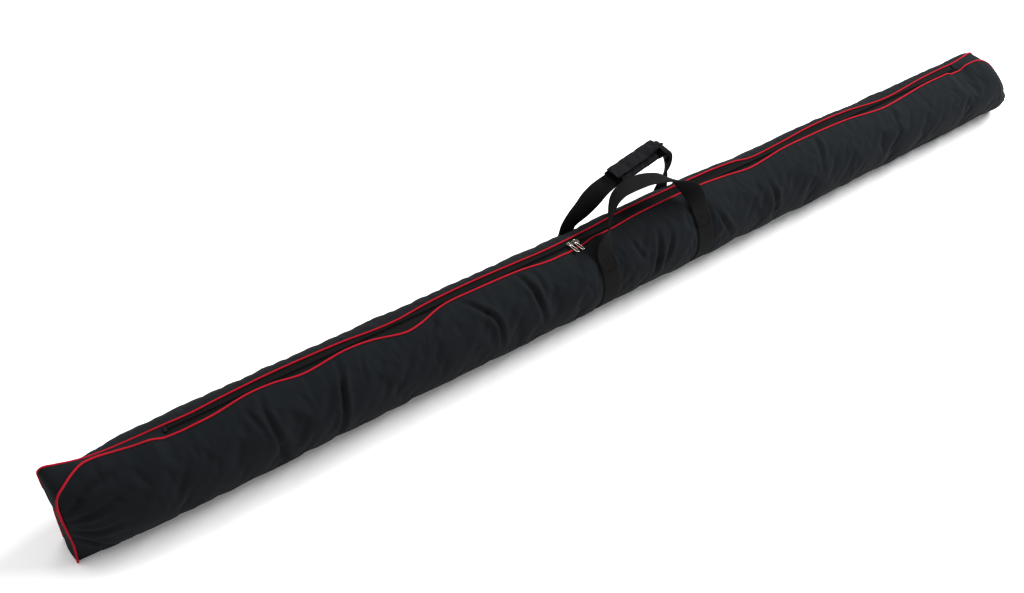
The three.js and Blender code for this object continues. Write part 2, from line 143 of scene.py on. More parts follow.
@dataclass
class Draft:
    """Collects vertices and faces of one piece before it becomes an object."""

    vertices: list[Array] = field(default_factory=list)
    faces: list[tuple[int, ...]] = field(default_factory=list)
    count: int = 0

    def add(self, points: Array, faces: Sequence[Sequence[int]]) -> int:
        """Adds points and the faces on them, and returns the first point's number.

        Args:
            points: the points, three numbers each.
            faces: each face's points, counted from the first one added.

        Returns:
            The number of the first point that was added.
        """
        start = self.count
        self.vertices.append(np.asarray(points, float).reshape(-1, 3))
        self.count += len(self.vertices[-1])
        self.faces.extend(tuple(int(i) + start for i in face) for face in faces)
        return start

    def grid(self, points: Array, closed: bool = False) -> int:
        """Adds a sheet of four-sided faces.

        Args:
            points: rows by columns by 3.
            closed: whether each row closes on itself.

        Returns:
            The number of the sheet's first point.
        """
        rows, columns = points.shape[:2]
        span = columns if closed else columns - 1
        i, j = np.meshgrid(np.arange(rows - 1), np.arange(span), indexing="ij")
        after = (j + 1) % columns
        faces = np.stack(
            [i * columns + j, i * columns + after, (i + 1) * columns + after, (i + 1) * columns + j],
            axis=-1,
        )
        return self.add(points, faces.reshape(-1, 4))

    def tube(self, rings: Array) -> None:
        """Adds a closed body through rings of points, with a flat cap on each end.

        Args:
            rings: rings of points along the body, one ring per row.
        """
        rows, columns = rings.shape[:2]
        start = self.grid(rings, closed=True)
        self.faces.append(tuple(range(start + columns - 1, start - 1, -1)))
        last = start + (rows - 1) * columns
        self.faces.append(tuple(range(last, last + columns)))

    def build(self, name: str, smooth: bool = True) -> bpy.types.Object:
        """Makes the object, with its faces turned outwards.

        Args:
            name: the object's name.
            smooth: whether its faces are shaded smooth.

        Returns:
            The new object.
        """
        mesh = bpy.data.meshes.new(name)
        mesh.from_pydata(np.vstack(self.vertices).tolist(), [], self.faces)
        mesh.validate()
        mesh.update()
        made = bpy.data.objects.new(name, mesh)
        bpy.context.scene.collection.objects.link(made)
        turn_outwards(made)
        if smooth:
            mesh.shade_smooth()
        return made


def turn_outwards(piece: bpy.types.Object) -> None:
    """Makes a mesh's normals agree and point outwards.

    Args:
        piece: the piece whose faces are turned.
    """
    import bmesh

    work = bmesh.new()
    work.from_mesh(piece.data)
    bmesh.ops.recalc_face_normals(work, faces=work.faces)
    work.to_mesh(piece.data)
    work.free()
    piece.data.update()


def sweep(line: Array, profile: Array, across: Array) -> Array:
    """Places a profile at each point of a line.

    Args:
        line: the points of the line.
        profile: points by 2: along the across direction, and square to it.
        across: the profile's first direction at each point, as one row or one for all.

    Returns:
        Rings of points, line by profile by 3.
    """
    tangent = unit(np.gradient(line, axis=0))
    across = np.broadcast_to(across, line.shape)
    across = unit(across - np.sum(across * tangent, axis=1, keepdims=True) * tangent)
    through = np.cross(tangent, across)
    return (
        line[:, None]
        + profile[None, :, 0, None] * across[:, None]
        + profile[None, :, 1, None] * through[:, None]
    )


def round_profile(radius: float, sides: int) -> Array:
    """A circle's points."""
    turn = np.arange(sides) * 2 * math.pi / sides
    return radius * np.stack([np.cos(turn), np.sin(turn)], axis=1)


def strap_profile(width: float, thickness: float, columns: int = 9) -> Array:
    """A strap's cross-section: flat faces and rounded edges.

    Args:
        width: how wide the strap is.
        thickness: how thick it is.
        columns: how many points go across each flat face.

    Returns:
        The section's points, in order round it.
    """
    half = thickness / 2
    flat = np.linspace(-width / 2 + half, width / 2 - half, columns)
    lower = np.stack([flat, np.full(columns, -half)], axis=1)
    upper = np.stack([flat[::-1], np.full(columns, half)], axis=1)
    turn = np.array([-math.pi / 4, 0, math.pi / 4])
    right = np.stack([flat[-1] + half * np.cos(turn), half * np.sin(turn)], axis=1)
    left = -right
    return np.vstack([lower, right, upper, left])


# ---------------------------------------------------------------- shader building


@dataclass(frozen=True)
class Value:
    """A number socket of a material, used in expressions."""

    recipe: "Recipe"
    socket: bpy.types.NodeSocket

    def _math(self, operation: str, *others: Union["Value", float]) -> "Value":
        """Adds a Math node that works on this value and others."""
        inputs = {i: other for i, other in enumerate((self, *others))}
        return Value(self.recipe, self.recipe.node("ShaderNodeMath", {"operation": operation}, inputs)[0])

    def __add__(self, other: Union["Value", float]) -> "Value":
        """Sum."""
        return self._math("ADD", other)

    __radd__ = __add__

    def __mul__(self, other: Union["Value", float]) -> "Value":
        """Product."""
        return self._math("MULTIPLY", other)

    __rmul__ = __mul__

    def __sub__(self, other: Union["Value", float]) -> "Value":
        """Difference."""
        return self._math("SUBTRACT", other)

    def __rsub__(self, other: float) -> "Value":
        """Difference with a plain number in front."""
        return (self * -1.0) + other

    def __pow__(self, power: float) -> "Value":
        """Power."""
        return self._math("POWER", power)

    def sine(self) -> "Value":
        """Sine."""
        return self._math("SINE")

    def magnitude(self) -> "Value":
        """Value without its sign."""
        return self._math("ABSOLUTE")

    def between(self, low: float, high: float) -> "Value":
        """0 below low, 1 above high, smooth between.

        Args:
            low: the value that gives 0.
            high: the value that gives 1.

        Returns:
            The eased share.
        """
        settings = {"interpolation_type": "SMOOTHSTEP"}
        inputs = {"Value": self, "From Min": low, "From Max": high}
        return Value(self.recipe, self.recipe.node("ShaderNodeMapRange", settings, inputs)[0])


Input = Union[Value, float, Sequence[float], bpy.types.NodeSocket]


class Recipe:
    """One material under construction."""

    def __init__(self, name: str) -> None:
        """Starts a material with a Principled shader.

        Args:
            name: the material's name.
        """
        self.material = bpy.data.materials.new(name)
        self.material.use_nodes = True
        self.tree = self.material.node_tree
        self.shader = self.tree.nodes["Principled BSDF"]
        self.places: Optional[bpy.types.NodeSocket] = None

    def node(self, kind: str, settings: dict, inputs: dict) -> list[bpy.types.NodeSocket]:
        """Adds one node.

        Args:
            kind: the name of the node's type.
            settings: properties to set first; "stops" gives a colour ramp's stops.
            inputs: socket name or number to a value or a link.

        Returns:
            The node's enabled outputs.
        """
        made = self.tree.nodes.new(kind)
        for name, setting in settings.items():
            if name == "stops":
                self._fill_ramp(made.color_ramp, setting)
            else:
                setattr(made, name, setting)
        for name, value in inputs.items():
            self._feed(made.inputs[name], value)
        return [socket for socket in made.outputs if socket.enabled]

    @staticmethod
    def _fill_ramp(ramp: bpy.types.ColorRamp, stops: Sequence[tuple[float, Colour]]) -> None:
        """Sets a colour ramp's stops."""
        while len(ramp.elements) < len(stops):
            ramp.elements.new(1.0)
        for element, (position, colour) in zip(ramp.elements, stops):
            element.position = position
            element.color = (*colour, 1.0)

    def _feed(self, socket: bpy.types.NodeSocket, value: Input) -> None:
        """Links or sets one input socket."""
        if isinstance(value, Value):
            value = value.socket
        if isinstance(value, bpy.types.NodeSocket):
            self.tree.links.new(value, socket)
        elif isinstance(value, (int, float)):
            socket.default_value = float(value)
        else:
            socket.default_value = (*value, 1.0) if socket.type == "RGBA" else tuple(value)

    def position(self) -> bpy.types.NodeSocket:
        """The piece's own coordinates."""
        if self.places is None:
            outputs = self.node("ShaderNodeTexCoord", {}, {})
            self.places = next(socket for socket in outputs if socket.name == "Object")
        return self.places

    def axes(self, source: Optional[bpy.types.NodeSocket] = None) -> tuple[Value, Value, Value]:
        """The three coordinates as values."""
        outputs = self.node("ShaderNodeSeparateXYZ", {}, {0: source or self.position()})
        return tuple(Value(self, socket) for socket in outputs[:3])

    def noise(
        self, scale: float, detail: float = 3.0, stretch: Sequence[float] = (1, 1, 1), rough: float = 0.55
    ) -> Value:
        """A soft random pattern of about 0.3 to 0.7.

        Args:
            scale: how fine the pattern is.
            detail: how many finer layers it has.
            stretch: how much finer it is along each axis.
            rough: how strong the finer layers are.

        Returns:
            The pattern's value.
        """
        vector = self.node(
            "ShaderNodeVectorMath",
            {"operation": "MULTIPLY"},
            {0: self.position(), 1: [scale * s for s in stretch]},
        )[0]
        inputs = {"Vector": vector, "Scale": 1.0, "Detail": detail, "Roughness": rough}
        return Value(self, self.node("ShaderNodeTexNoise", {}, inputs)[0])

    def weave(self, pitch: float, along: Value, across: Value) -> Value:
        """A plain weave's height, 0 to 1, of two threads pitch apart."""
        turn = 2 * math.pi / pitch
        return ((along * turn).sine() * (across * turn).sine()) * 0.5 + 0.5

    def mix(self, share: Union[Value, float], low: Input, high: Input) -> bpy.types.NodeSocket:
        """A colour between two colours."""
        inputs = {0: share, 6: low, 7: high}
        return self.node("ShaderNodeMix", {"data_type": "RGBA"}, inputs)[0]

    def bump(self, height: Value, depth: float, strength: float = 1.0) -> None:
        """Raises the surface by height times depth.

        Args:
            height: the height, as a share of depth.
            depth: how far a height of 1 stands up, in metres.
            strength: how much of the bump is used.
        """
        inputs = {"Height": height, "Distance": depth, "Strength": strength}
        outputs = self.node("ShaderNodeBump", {}, inputs)
        self.tree.links.new(outputs[0], self.shader.inputs["Normal"])

    def surface(self, **sockets: Input) -> bpy.types.Material:
        """Sets the shader's sockets, with underscores for spaces, and returns the material."""
        for name, value in sockets.items():
            self._feed(self.shader.inputs[name.replace("_", " ")], value)
        return self.material


# ---------------------------------------------------------------- finishes


@dataclass(frozen=True)
class CoatedFabric:
    """Black woven polyester with a coated face and a faint blue-grey sheen; its colour carries painted light,
    lighter and bluer towards the right end, and painted shade, darker towards the bottom.
    """

    name: str = "coated_fabric"
    deep: Colour = (0.0005, 0.0007, 0.0005)
    # The lighter, bluer tone: partly real wear, partly painted light on the right end.
    lighter_tone: Colour = (0.0058, 0.0070, 0.0100)
    thread: float = 0.55 * MM
    roughness: float = 0.30

    def make(self) -> bpy.types.Material:
        """Builds the material."""
        recipe = Recipe(self.name)
        x, y, z = recipe.axes()
        threads = recipe.weave(self.thread, x, y + z)
        clouds = recipe.noise(9, 4, (1, 2, 2))
        grain = recipe.noise(900, 2)
        rubbed = recipe.noise(60, 5, (1, 1, 1), 0.7)
        # Painted light: the colour grows lighter and bluer towards the right end, where the light falls; the
        # cloud and rubbed patterns add real tone and wear.
        wear_and_painted_light = x.between(-0.75, 0.75) * 0.55 + clouds.between(0.35, 0.7) * 0.35
        wear_and_painted_light = wear_and_painted_light + rubbed.between(0.5, 0.8) * 0.2
        # Painted shade: towards the bottom the colour is held at the deep tone.
        colour = recipe.mix(wear_and_painted_light * z.between(0.01, 0.11), self.deep, self.lighter_tone)
        rumple = recipe.noise(30, 4, (1.5, 0.55, 0.55), 0.6)
        crush = recipe.noise(75, 3, (1.3, 0.5, 0.5), 0.6)
        zones = recipe.noise(7, 2).between(0.42, 0.62)
        creases = (rumple - 0.5).magnitude() * 18.0 * zones + (crush - 0.5).magnitude() * 8.0
        height = threads * 0.03 + grain * 0.015 + rubbed * 0.2 + creases
        recipe.bump(height, 1.0 * MM, 1.0)
        gloss = clouds * 0.16 + rubbed * 0.12 + (self.roughness - 0.13)
        return recipe.surface(
            Base_Color=colour,
            Roughness=gloss,
            Specular_IOR_Level=0.045,
            Specular_Tint=(0.74, 0.86, 1.0),
        )


@dataclass(frozen=True)
class PipingCover:
    """Crimson satin tape cut on the bias, wrapped round a cord."""

    name: str = "red_piping"
    light: Colour = (0.84, 0.360, 0.470)
    shade: Colour = (0.52, 0.150, 0.210)

    def make(self) -> bpy.types.Material:
        """Builds the material."""
        recipe = Recipe(self.name)
        x, y, z = recipe.axes()
        slant = ((x + y * 0.8 + z * 0.8) * (2 * math.pi / (0.5 * MM))).sine() * 0.5 + 0.5
        blotch = recipe.noise(70, 4)
        # Painted light and shade: a lit and a shaded copy of the crimson, mixed in random blotches.
        colour = recipe.mix(blotch.between(0.38, 0.66), self.shade, self.light)
        recipe.bump(slant * 0.6 + recipe.noise(500, 2) * 0.8, 0.07 * MM, 0.6)
        return recipe.surface(
            Base_Color=colour,
            Roughness=blotch * 0.2 + 0.28,
            Specular_IOR_Level=0.8,
        )


@dataclass(frozen=True)
class ZipTape:
    """Black woven zip tape with fine cross ribs."""

    name: str = "zip_tape"
    colour: Colour = (0.0026, 0.0022, 0.0022)
    lint: Colour = (0.0120, 0.0085, 0.0085)

    def make(self) -> bpy.types.Material:
        """Builds the material."""
        recipe = Recipe(self.name)
        x, y, _ = recipe.axes()
        rib = (x * (2 * math.pi / (1.1 * MM))).sine() * 0.5 + 0.5
        twill = ((x + y * 1.0) * (2 * math.pi / (0.8 * MM))).sine() * 0.5 + 0.5
        fluff = recipe.noise(420, 4)
        recipe.bump(rib * 0.6 + twill * 0.4 + fluff * 0.5, 0.14 * MM, 0.8)
        colour = recipe.mix(fluff.between(0.5, 0.75) * 0.7, self.colour, self.lint)
        return recipe.surface(Base_Color=colour, Roughness=fluff * 0.2 + 0.62, Specular_IOR_Level=0.15)


@dataclass(frozen=True)
class NylonCoil:
    """Black moulded nylon of the zip's teeth."""

    name: str = "zip_coil"
    colour: Colour = (0.0035, 0.0030, 0.0030)

    def make(self) -> bpy.types.Material:
        """Builds the material."""
        recipe = Recipe(self.name)
        wear = recipe.noise(300, 3)
        recipe.bump(wear, 0.05 * MM, 0.5)
        colour = recipe.mix(wear.between(0.45, 0.75), self.colour, (0.011, 0.009, 0.009))
        return recipe.surface(Base_Color=colour, Roughness=wear * 0.25 + 0.25, Specular_IOR_Level=0.3)


@dataclass(frozen=True)
class Nickel:
    """Bright nickel plate, slightly warm, with fine handling scratches."""

    name: str = "nickel"
    bright: Colour = (0.80, 0.76, 0.68)
    dull: Colour = (0.42, 0.39, 0.33)

    def make(self) -> bpy.types.Material:
        """Builds the material."""
        recipe = Recipe(self.name)
        smear = recipe.noise(260, 4)
        scratch = recipe.noise(1500, 2, (1, 0.15, 1))
        recipe.bump(scratch, 0.03 * MM, 0.5)
        colour = recipe.mix(smear.between(0.35, 0.7), self.bright, self.dull)
        return recipe.surface(Base_Color=colour, Metallic=1.0, Roughness=smear * 0.2 + scratch * 0.12 + 0.1)


@dataclass(frozen=True)
class Webbing:
    """Black polypropylene webbing: a coarse plain weave with fine ribs."""

    name: str = "webbing"
    colour: Colour = (0.0012, 0.0012, 0.0011)
    light: Colour = (0.0048, 0.0047, 0.0042)

    def make(self) -> bpy.types.Material:
        """Builds the material."""
        recipe = Recipe(self.name)
        x, y, z = recipe.axes()
        cells = recipe.weave(2.2 * MM, x * 1.0, (y + z) * 0.8)
        fibre = recipe.noise(700, 3, (1, 0.4, 0.4))
        dust = recipe.noise(45, 4)
        recipe.bump(cells * 1.0 + fibre * 0.4, 0.22 * MM, 0.8)
        colour = recipe.mix(cells * 0.4 + dust.between(0.45, 0.75) * 0.5, self.colour, self.light)
        return recipe.surface(Base_Color=colour, Roughness=fibre * 0.2 + 0.5, Specular_IOR_Level=0.09)


@dataclass(frozen=True)
class GripFabric:
    """Smooth coated nylon of the grip wrap, glossier than the bag."""

    name: str = "grip_fabric"
    deep: Colour = (0.0024, 0.0030, 0.0034)
    lighter_tone: Colour = (0.0080, 0.0102, 0.0118)

    def make(self) -> bpy.types.Material:
        """Builds the material."""
        recipe = Recipe(self.name)
        x, y, z = recipe.axes()
        threads = recipe.weave(0.7 * MM, x + z * 0.3, y + z)
        crumple = recipe.noise(95, 5, (1, 1.6, 1.6), 0.65)
        recipe.bump(threads * 0.25 + crumple * 2.2, 0.25 * MM, 0.6)
        colour = recipe.mix(crumple.between(0.4, 0.65), self.deep, self.lighter_tone)
        return recipe.surface(Base_Color=colour, Roughness=crumple * 0.3 + 0.16, Specular_IOR_Level=0.24)


@dataclass(frozen=True)
class BindingTape:
    """Matt black grosgrain that binds cut edges."""

    name: str = "binding_tape"
    colour: Colour = (0.0010, 0.0010, 0.0010)

    def make(self) -> bpy.types.Material:
        """Builds the material."""
        recipe = Recipe(self.name)
        x, y, z = recipe.axes()
        rib = ((x + y * 0.3 + z * 0.3) * (2 * math.pi / (0.9 * MM))).sine() * 0.5 + 0.5
        fibre = recipe.noise(600, 3)
        recipe.bump(rib * 0.8 + fibre * 0.5, 0.12 * MM, 0.8)
        colour = recipe.mix(fibre.between(0.45, 0.7), self.colour, (0.0035, 0.0035, 0.0035))
        return recipe.surface(Base_Color=colour, Roughness=fibre * 0.2 + 0.65, Specular_IOR_Level=0.08)


@dataclass(frozen=True)
class HookAndLoop:
    """Black hook-and-loop pile."""

    name: str = "hook_and_loop"

    def make(self) -> bpy.types.Material:
        """Builds the material."""
        recipe = Recipe(self.name)
        pile = recipe.noise(1300, 2)
        rows = recipe.noise(300, 3)
        recipe.bump(pile + rows * 0.5, 0.4 * MM, 1.0)
        colour = recipe.mix(pile.between(0.4, 0.7), (0.0010, 0.0010, 0.0010), (0.007, 0.007, 0.007))
        return recipe.surface(Base_Color=colour, Roughness=0.95, Specular_IOR_Level=0.05)


@dataclass(frozen=True)
class Thread:
    """Black polyester sewing thread."""

    name: str = "thread"

    def make(self) -> bpy.types.Material:
        """Builds the material."""
        recipe = Recipe(self.name)
        x, y, z = recipe.axes()
        twist = ((x + y + z) * (2 * math.pi / (0.35 * MM))).sine() * 0.5 + 0.5
        recipe.bump(twist, 0.08 * MM, 0.7)
        spots = recipe.noise(400, 2).between(0.4, 0.7)
        colour = recipe.mix(spots, (0.0020, 0.0020, 0.0022), (0.007, 0.007, 0.0076))
        return recipe.surface(Base_Color=colour, Roughness=twist * 0.15 + 0.4, Specular_IOR_Level=0.1)


@dataclass(frozen=True)
class FoamCells:
    """Grey closed-cell foam of the padding."""

    name: str = "foam"

    def make(self) -> bpy.types.Material:
        """Builds the material."""
        recipe = Recipe(self.name)
        cells = recipe.noise(800, 3)
        recipe.bump(cells, 0.3 * MM, 0.8)
        colour = recipe.mix(cells.between(0.35, 0.7), (0.22, 0.22, 0.21), (0.36, 0.36, 0.35))
        return recipe.surface(Base_Color=colour, Roughness=0.95)


@dataclass(frozen=True)
class LiningCloth:
    """Thin dark nylon lining."""

    name: str = "lining"

    def make(self) -> bpy.types.Material:
        """Builds the material."""
        recipe = Recipe(self.name)
        x, y, z = recipe.axes()
        threads = recipe.weave(0.6 * MM, x, y + z)
        recipe.bump(threads + recipe.noise(200, 3), 0.08 * MM, 0.7)
        colour = recipe.mix(threads * 0.6, (0.012, 0.012, 0.014), (0.028, 0.028, 0.032))
        return recipe.surface(Base_Color=colour, Roughness=threads * 0.1 + 0.6)


@dataclass(frozen=True)
class PaleGround:
    """White sheet that the bag lies on."""

    name: str = "pale_ground"

    def make(self) -> bpy.types.Material:
        """Builds the material."""
        recipe = Recipe(self.name)
        return recipe.surface(
            Base_Color=(0.93, 0.93, 0.93),
            Roughness=0.9,
            Specular_IOR_Level=0.05,
            Emission_Color=(1.0, 1.0, 1.0),
            Emission_Strength=0.22,
        )


class Finish(Enum):
    """The finishes of the bag, and the record's slot that each belongs to."""

    FABRIC = (CoatedFabric(), "coated_fabric")
    PIPING = (PipingCover(), "red_piping")
    TAPE = (ZipTape(), "zip_tape")
    COIL = (NylonCoil(), "zip_coil")
    NICKEL = (Nickel(), "nickel")
    STOP = (NylonCoil("blackened_stop"), "nickel")
    WEBBING = (Webbing(), "webbing")
    GRIP = (GripFabric(), "grip_fabric")
    BINDING = (BindingTape(), "zip_tape")
    HOOKS = (HookAndLoop(), "hook_and_loop")
    THREAD = (Thread(), "thread")
    FOAM = (FoamCells(), "foam")
    LINING = (LiningCloth(), "lining")

    def dress(self, piece: bpy.types.Object) -> None:
        """Gives a piece this finish; the slot is not used here.

        Args:
            piece: the piece to dress.
        """
        finish, slot = self.value
        material = bpy.data.materials.get(finish.name) or finish.make()
        piece.data.materials.clear()
        piece.data.materials.append(material)


class Body(Enum):
    """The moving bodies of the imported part."""

    BAG = "bag"
    FRONT_HANDLE = "front_handle"
    BACK_HANDLE = "back_handle"
    FLAP = "flap"


def place(
    piece: bpy.types.Object, finish: Finish, body: Optional[Body], *stands_for: str
) -> bpy.types.Object:
    """Finishes a new piece.

    Args:
        piece: the object, in its place.
        finish: its finish.
        body: the body that it rides on, or None where it is blended instead.
        stands_for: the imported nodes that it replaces.

    Returns:
        The same piece.
    """
    finish.dress(piece)
    if body is not None:
        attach(piece, body.value)
    if stands_for:
        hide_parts(*stands_for)
    log.info("%s: %d faces", piece.name, len(piece.data.polygons))
    return piece


# ---------------------------------------------------------------- the bag's shape


class Side(Enum):
    """Front and back of the bag; the value is the sign of Y."""

    FRONT = -1
    BACK = 1


class End(Enum):
    """Left and right end of the bag; the value is the sign of X."""

    LEFT = -1
    RIGHT = 1


@dataclass(frozen=True)
class Fold:
    """A crease in the panel: a valley with a raised shoulder beside it.

    Each spot is a place along the bag and an angle from its top, positive towards the front.
    """

    spots: tuple[tuple[float, float], ...]
    depth: float
    width: float = 5 * MM
    shoulder: float = 0.7


@dataclass
class BagForm:
    """The form of the bag's skin, from which the panel, seams and end gussets are made."""

    middle: float = 60 * MM
    radius: float = 60.6 * MM
    base: float = 0.9 * MM
    seat: float = 2.1 * MM
    band_pinch: float = 0.9 * MM
    end_half: float = 23 * MM
    taper_start: dict = field(default_factory=lambda: {End.LEFT: 0.790, End.RIGHT: 0.800})
    taper_power: dict = field(default_factory=lambda: {End.LEFT: 2.1, End.RIGHT: 3.6})

    def __post_init__(self) -> None:
        """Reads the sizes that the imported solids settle."""
        self.half_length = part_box("main_panel")[1].x
        ring_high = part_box("piping_front")[1]
        self.reach = ring_high.x - 1.75 * MM
        self.bands = [sum(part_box(f"handle_band_{k}"), Vector()).x / 2 for k in ("left", "right")]
        self.plain_seams = {side: self._seam(side) for side in Side}
        self.seams = {side: self.tuck(line) for side, line in self.plain_seams.items()}

    # Sway of the two seams: place along the bag, and how far the seam stands up and back (above
    # 0) or hangs over to the front (below 0), in steps of about 5 mm.
    FRONT_SWAY = (
        (-0.764, -0.5), (-0.715, -0.6), (-0.664, 0.6), (-0.630, 0.5), (-0.588, -0.6), (-0.524, 0.4),
        (-0.487, -0.1), (-0.438, -1.9), (-0.415, -1.5), (-0.371, 0.5), (-0.316, 0.7), (-0.240, 0.3),
        (-0.192, -0.7), (-0.155, -0.6), (-0.110, 0.1), (-0.070, 0.3), (-0.020, 1.1), (0.050, 1.4),
        (0.115, 1.2), (0.170, 0.4), (0.219, -0.5), (0.296, 0.8), (0.350, 1.0), (0.457, 0.6),
        (0.541, -0.9), (0.601, -0.4), (0.662, 0.5), (0.725, 0.6),
    )
    BACK_SWAY = (
        (-0.762, -1.2), (-0.734, -1.4), (-0.690, -0.6), (-0.615, 0.2), (-0.519, -0.4), (-0.470, -1.6),
        (-0.435, -1.8), (-0.382, -0.3), (-0.309, 0.3), (-0.232, -0.2), (-0.183, -0.6), (-0.111, 0.0),
        (-0.068, 0.9), (-0.024, 1.9), (0.060, 2.3), (0.160, 2.1), (0.209, 1.0), (0.240, -0.9),
        (0.310, -0.3), (0.390, 1.4), (0.474, 1.0), (0.558, -1.8), (0.600, -1.9), (0.681, 0.0), (0.735, 0.6),
    )
    # The seams beyond the zip, from there round the corner to the foot of the end.
    END_LINES = {
        (Side.FRONT, End.LEFT): (
            (-0.793, -0.0095, 0.1235), (-0.810, -0.0068, 0.1232), (-0.832, -0.0038, 0.1250),
            (-0.854, -0.0030, 0.1285), (-0.870, -0.0055, 0.1302), (-0.885, -0.0120, 0.1272),
            (-0.897, -0.0180, 0.1218), (-0.9075, -0.0218, 0.1140), (-0.9115, -0.0228, 0.1020),
            (-0.9122, -0.0234, 0.0800), (-0.9110, -0.0232, 0.0560), (-0.9100, -0.0236, 0.0300),
            (-0.9125, -0.0245, 0.0019),
        ),
        (Side.BACK, End.LEFT): (
            (-0.800, 0.0118, 0.1165), (-0.840, 0.0130, 0.1166), (-0.870, 0.0148, 0.1192),
            (-0.893, 0.0190, 0.1226), (-0.9070, 0.0222, 0.1242), (-0.9132, 0.0232, 0.1205),
            (-0.9140, 0.0236, 0.1080), (-0.9130, 0.0236, 0.0900), (-0.9090, 0.0232, 0.0780),
            (-0.9115, 0.0236, 0.0500), (-0.9125, 0.0240, 0.0019),
        ),
        (Side.FRONT, End.RIGHT): (
            (0.770, -0.0092, 0.1238), (0.792, -0.0098, 0.1256), (0.808, -0.0122, 0.1268),
            (0.822, -0.0158, 0.1248), (0.838, -0.0195, 0.1165), (0.857, -0.0218, 0.1010),
            (0.878, -0.0228, 0.0800), (0.894, -0.0230, 0.0590), (0.904, -0.0230, 0.0400),
            (0.909, -0.0230, 0.0220), (0.9112, -0.0232, 0.0019),
        ),
        (Side.BACK, End.RIGHT): (
            (0.775, 0.0132, 0.1216), (0.810, 0.0160, 0.1228), (0.835, 0.0205, 0.1212),
            (0.848, 0.0228, 0.1150), (0.862, 0.0230, 0.1020), (0.882, 0.0230, 0.0800),
            (0.897, 0.0230, 0.0570), (0.906, 0.0230, 0.0360), (0.9112, 0.0232, 0.0019),
        ),
    }
    FOLDS = (
        Fold(((-0.653, 16), (-0.655, 50), (-0.650, 80), (-0.645, 122)), 2.6 * MM, 7 * MM),
        Fold(((-0.676, 22), (-0.668, 48), (-0.661, 74)), 1.5 * MM, 6 * MM),
        Fold(((-0.541, 14), (-0.553, 52), (-0.560, 80), (-0.570, 126)), 3.0 * MM, 6 * MM),
        Fold(((-0.530, 18), (-0.549, 44), (-0.556, 66)), 1.5 * MM, 4 * MM),
        Fold(((-0.505, 12), (-0.515, 34), (-0.520, 56)), 1.2 * MM, 5 * MM),
        Fold(((-0.372, 12), (-0.392, 22), (-0.412, 41)), 2.6 * MM, 6 * MM),
        Fold(((-0.390, 14), (-0.408, 30), (-0.430, 46)), 1.6 * MM, 5 * MM),
        Fold(((-0.349, 12), (-0.328, 34), (-0.311, 56), (-0.309, 100)), 2.6 * MM, 6 * MM),
        Fold(((-0.250, 10), (-0.240, 42), (-0.234, 92)), 2.8 * MM, 7 * MM),
        Fold(((-0.226, 14), (-0.222, 34), (-0.226, 62)), 1.3 * MM, 6 * MM),
        Fold(((-0.004, 40), (-0.012, 64), (-0.028, 108)), 3.0 * MM, 7 * MM),
        Fold(((0.020, 46), (0.010, 66), (-0.008, 92)), 2.4 * MM, 6 * MM),
        Fold(((-0.055, 34), (-0.050, 52), (-0.040, 72)), 1.6 * MM, 6 * MM),
        Fold(((0.112, 50), (0.122, 70), (0.142, 100)), 2.4 * MM, 7 * MM),
        Fold(((0.234, 44), (0.239, 78), (0.235, 106)), 2.6 * MM, 8 * MM),
        Fold(((0.368, 10), (0.361, 36), (0.349, 66)), 2.2 * MM, 9 * MM),
        Fold(((0.560, 14), (0.553, 40), (0.545, 62)), 1.6 * MM, 9 * MM),
        Fold(((-0.905, 45), (-0.880, 30), (-0.835, 26)), 2.0 * MM, 8 * MM),
        Fold(((-0.908, 62), (-0.880, 60), (-0.835, 50)), 1.8 * MM, 8 * MM),
        Fold(((-0.908, 92), (-0.885, 96), (-0.850, 88)), 1.8 * MM, 8 * MM),
        Fold(((-0.905, 116), (-0.893, 122), (-0.870, 140)), 2.6 * MM, 8 * MM),
        Fold(((-0.700, -62), (-0.690, -84), (-0.705, -118)), 2.0 * MM, 8 * MM),
        Fold(((-0.430, -58), (-0.420, -80), (-0.440, -112)), 2.2 * MM, 8 * MM),
        Fold(((-0.205, -60), (-0.215, -82), (-0.200, -106)), 1.8 * MM, 7 * MM),
        Fold(((-0.020, -66), (-0.005, -84), (-0.015, -112)), 2.2 * MM, 7 * MM),
        Fold(((0.240, -60), (0.230, -80), (0.245, -108)), 2.0 * MM, 7 * MM),
        Fold(((0.590, -60), (0.580, -82), (0.595, -114)), 2.0 * MM, 8 * MM),
        Fold(((0.905, 100), (0.880, 104), (0.850, 100)), 1.8 * MM, 7 * MM),
    )

    def _seam(self, side: Side) -> Array:
        """The whole line of one seam, foot to foot, evenly spaced.

        Args:
            side: the side of the bag that the seam is on.

        Returns:
            The line's points, one per row.
        """
        middle = []
        for x, sway in self.FRONT_SWAY if side is Side.FRONT else self.BACK_SWAY:
            if side is Side.FRONT:
                y = -9.5 + (2.1 if sway > 0 else 6.0) * sway
                z = 121.0 + (4.4 if sway > 0 else 1.6) * sway
            else:
                y = 12.7 + (1.2 if sway > 0 else 2.6) * sway
                z = 119.7 + (2.4 if sway > 0 else 1.2) * sway
            middle.append((x, y * MM, z * MM))
        left = self.END_LINES[side, End.LEFT]
        right = self.END_LINES[side, End.RIGHT]
        line = smooth_line([*left[::-1], *middle, *right], 2.5 * MM)
        return self.under_pulls(line, 2.1 * MM)

    def under_pulls(self, points: Array, clearance: float) -> Array:
        """Keeps points under the pulls, where they rest and where their travel ends.

        Args:
            points: the points to keep low.
            clearance: the room to leave under the pulls.

        Returns:
            The points, lowered where a pull is above them.
        """
        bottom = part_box("pull_left")[0].z - clearance
        lowered = points.copy()
        for name, joint in (("left", "slide_left_slider"), ("right", "slide_right_slider")):
            low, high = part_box(f"pull_{name}")
            travel = next(j for j in frame["joints"] if j["name"] == joint)
            for shift in travel["range_m"]:
                middle = (low.x + high.x) / 2 + travel["axis"][0] * shift
                near = 1 - smoothstep(9 * MM, 28 * MM, np.abs(points[..., 0] - middle))
                near = near * (points[..., 1] < 4 * MM)
                lowered[..., 2] -= np.maximum(lowered[..., 2] - bottom, 0) * near
        return lowered

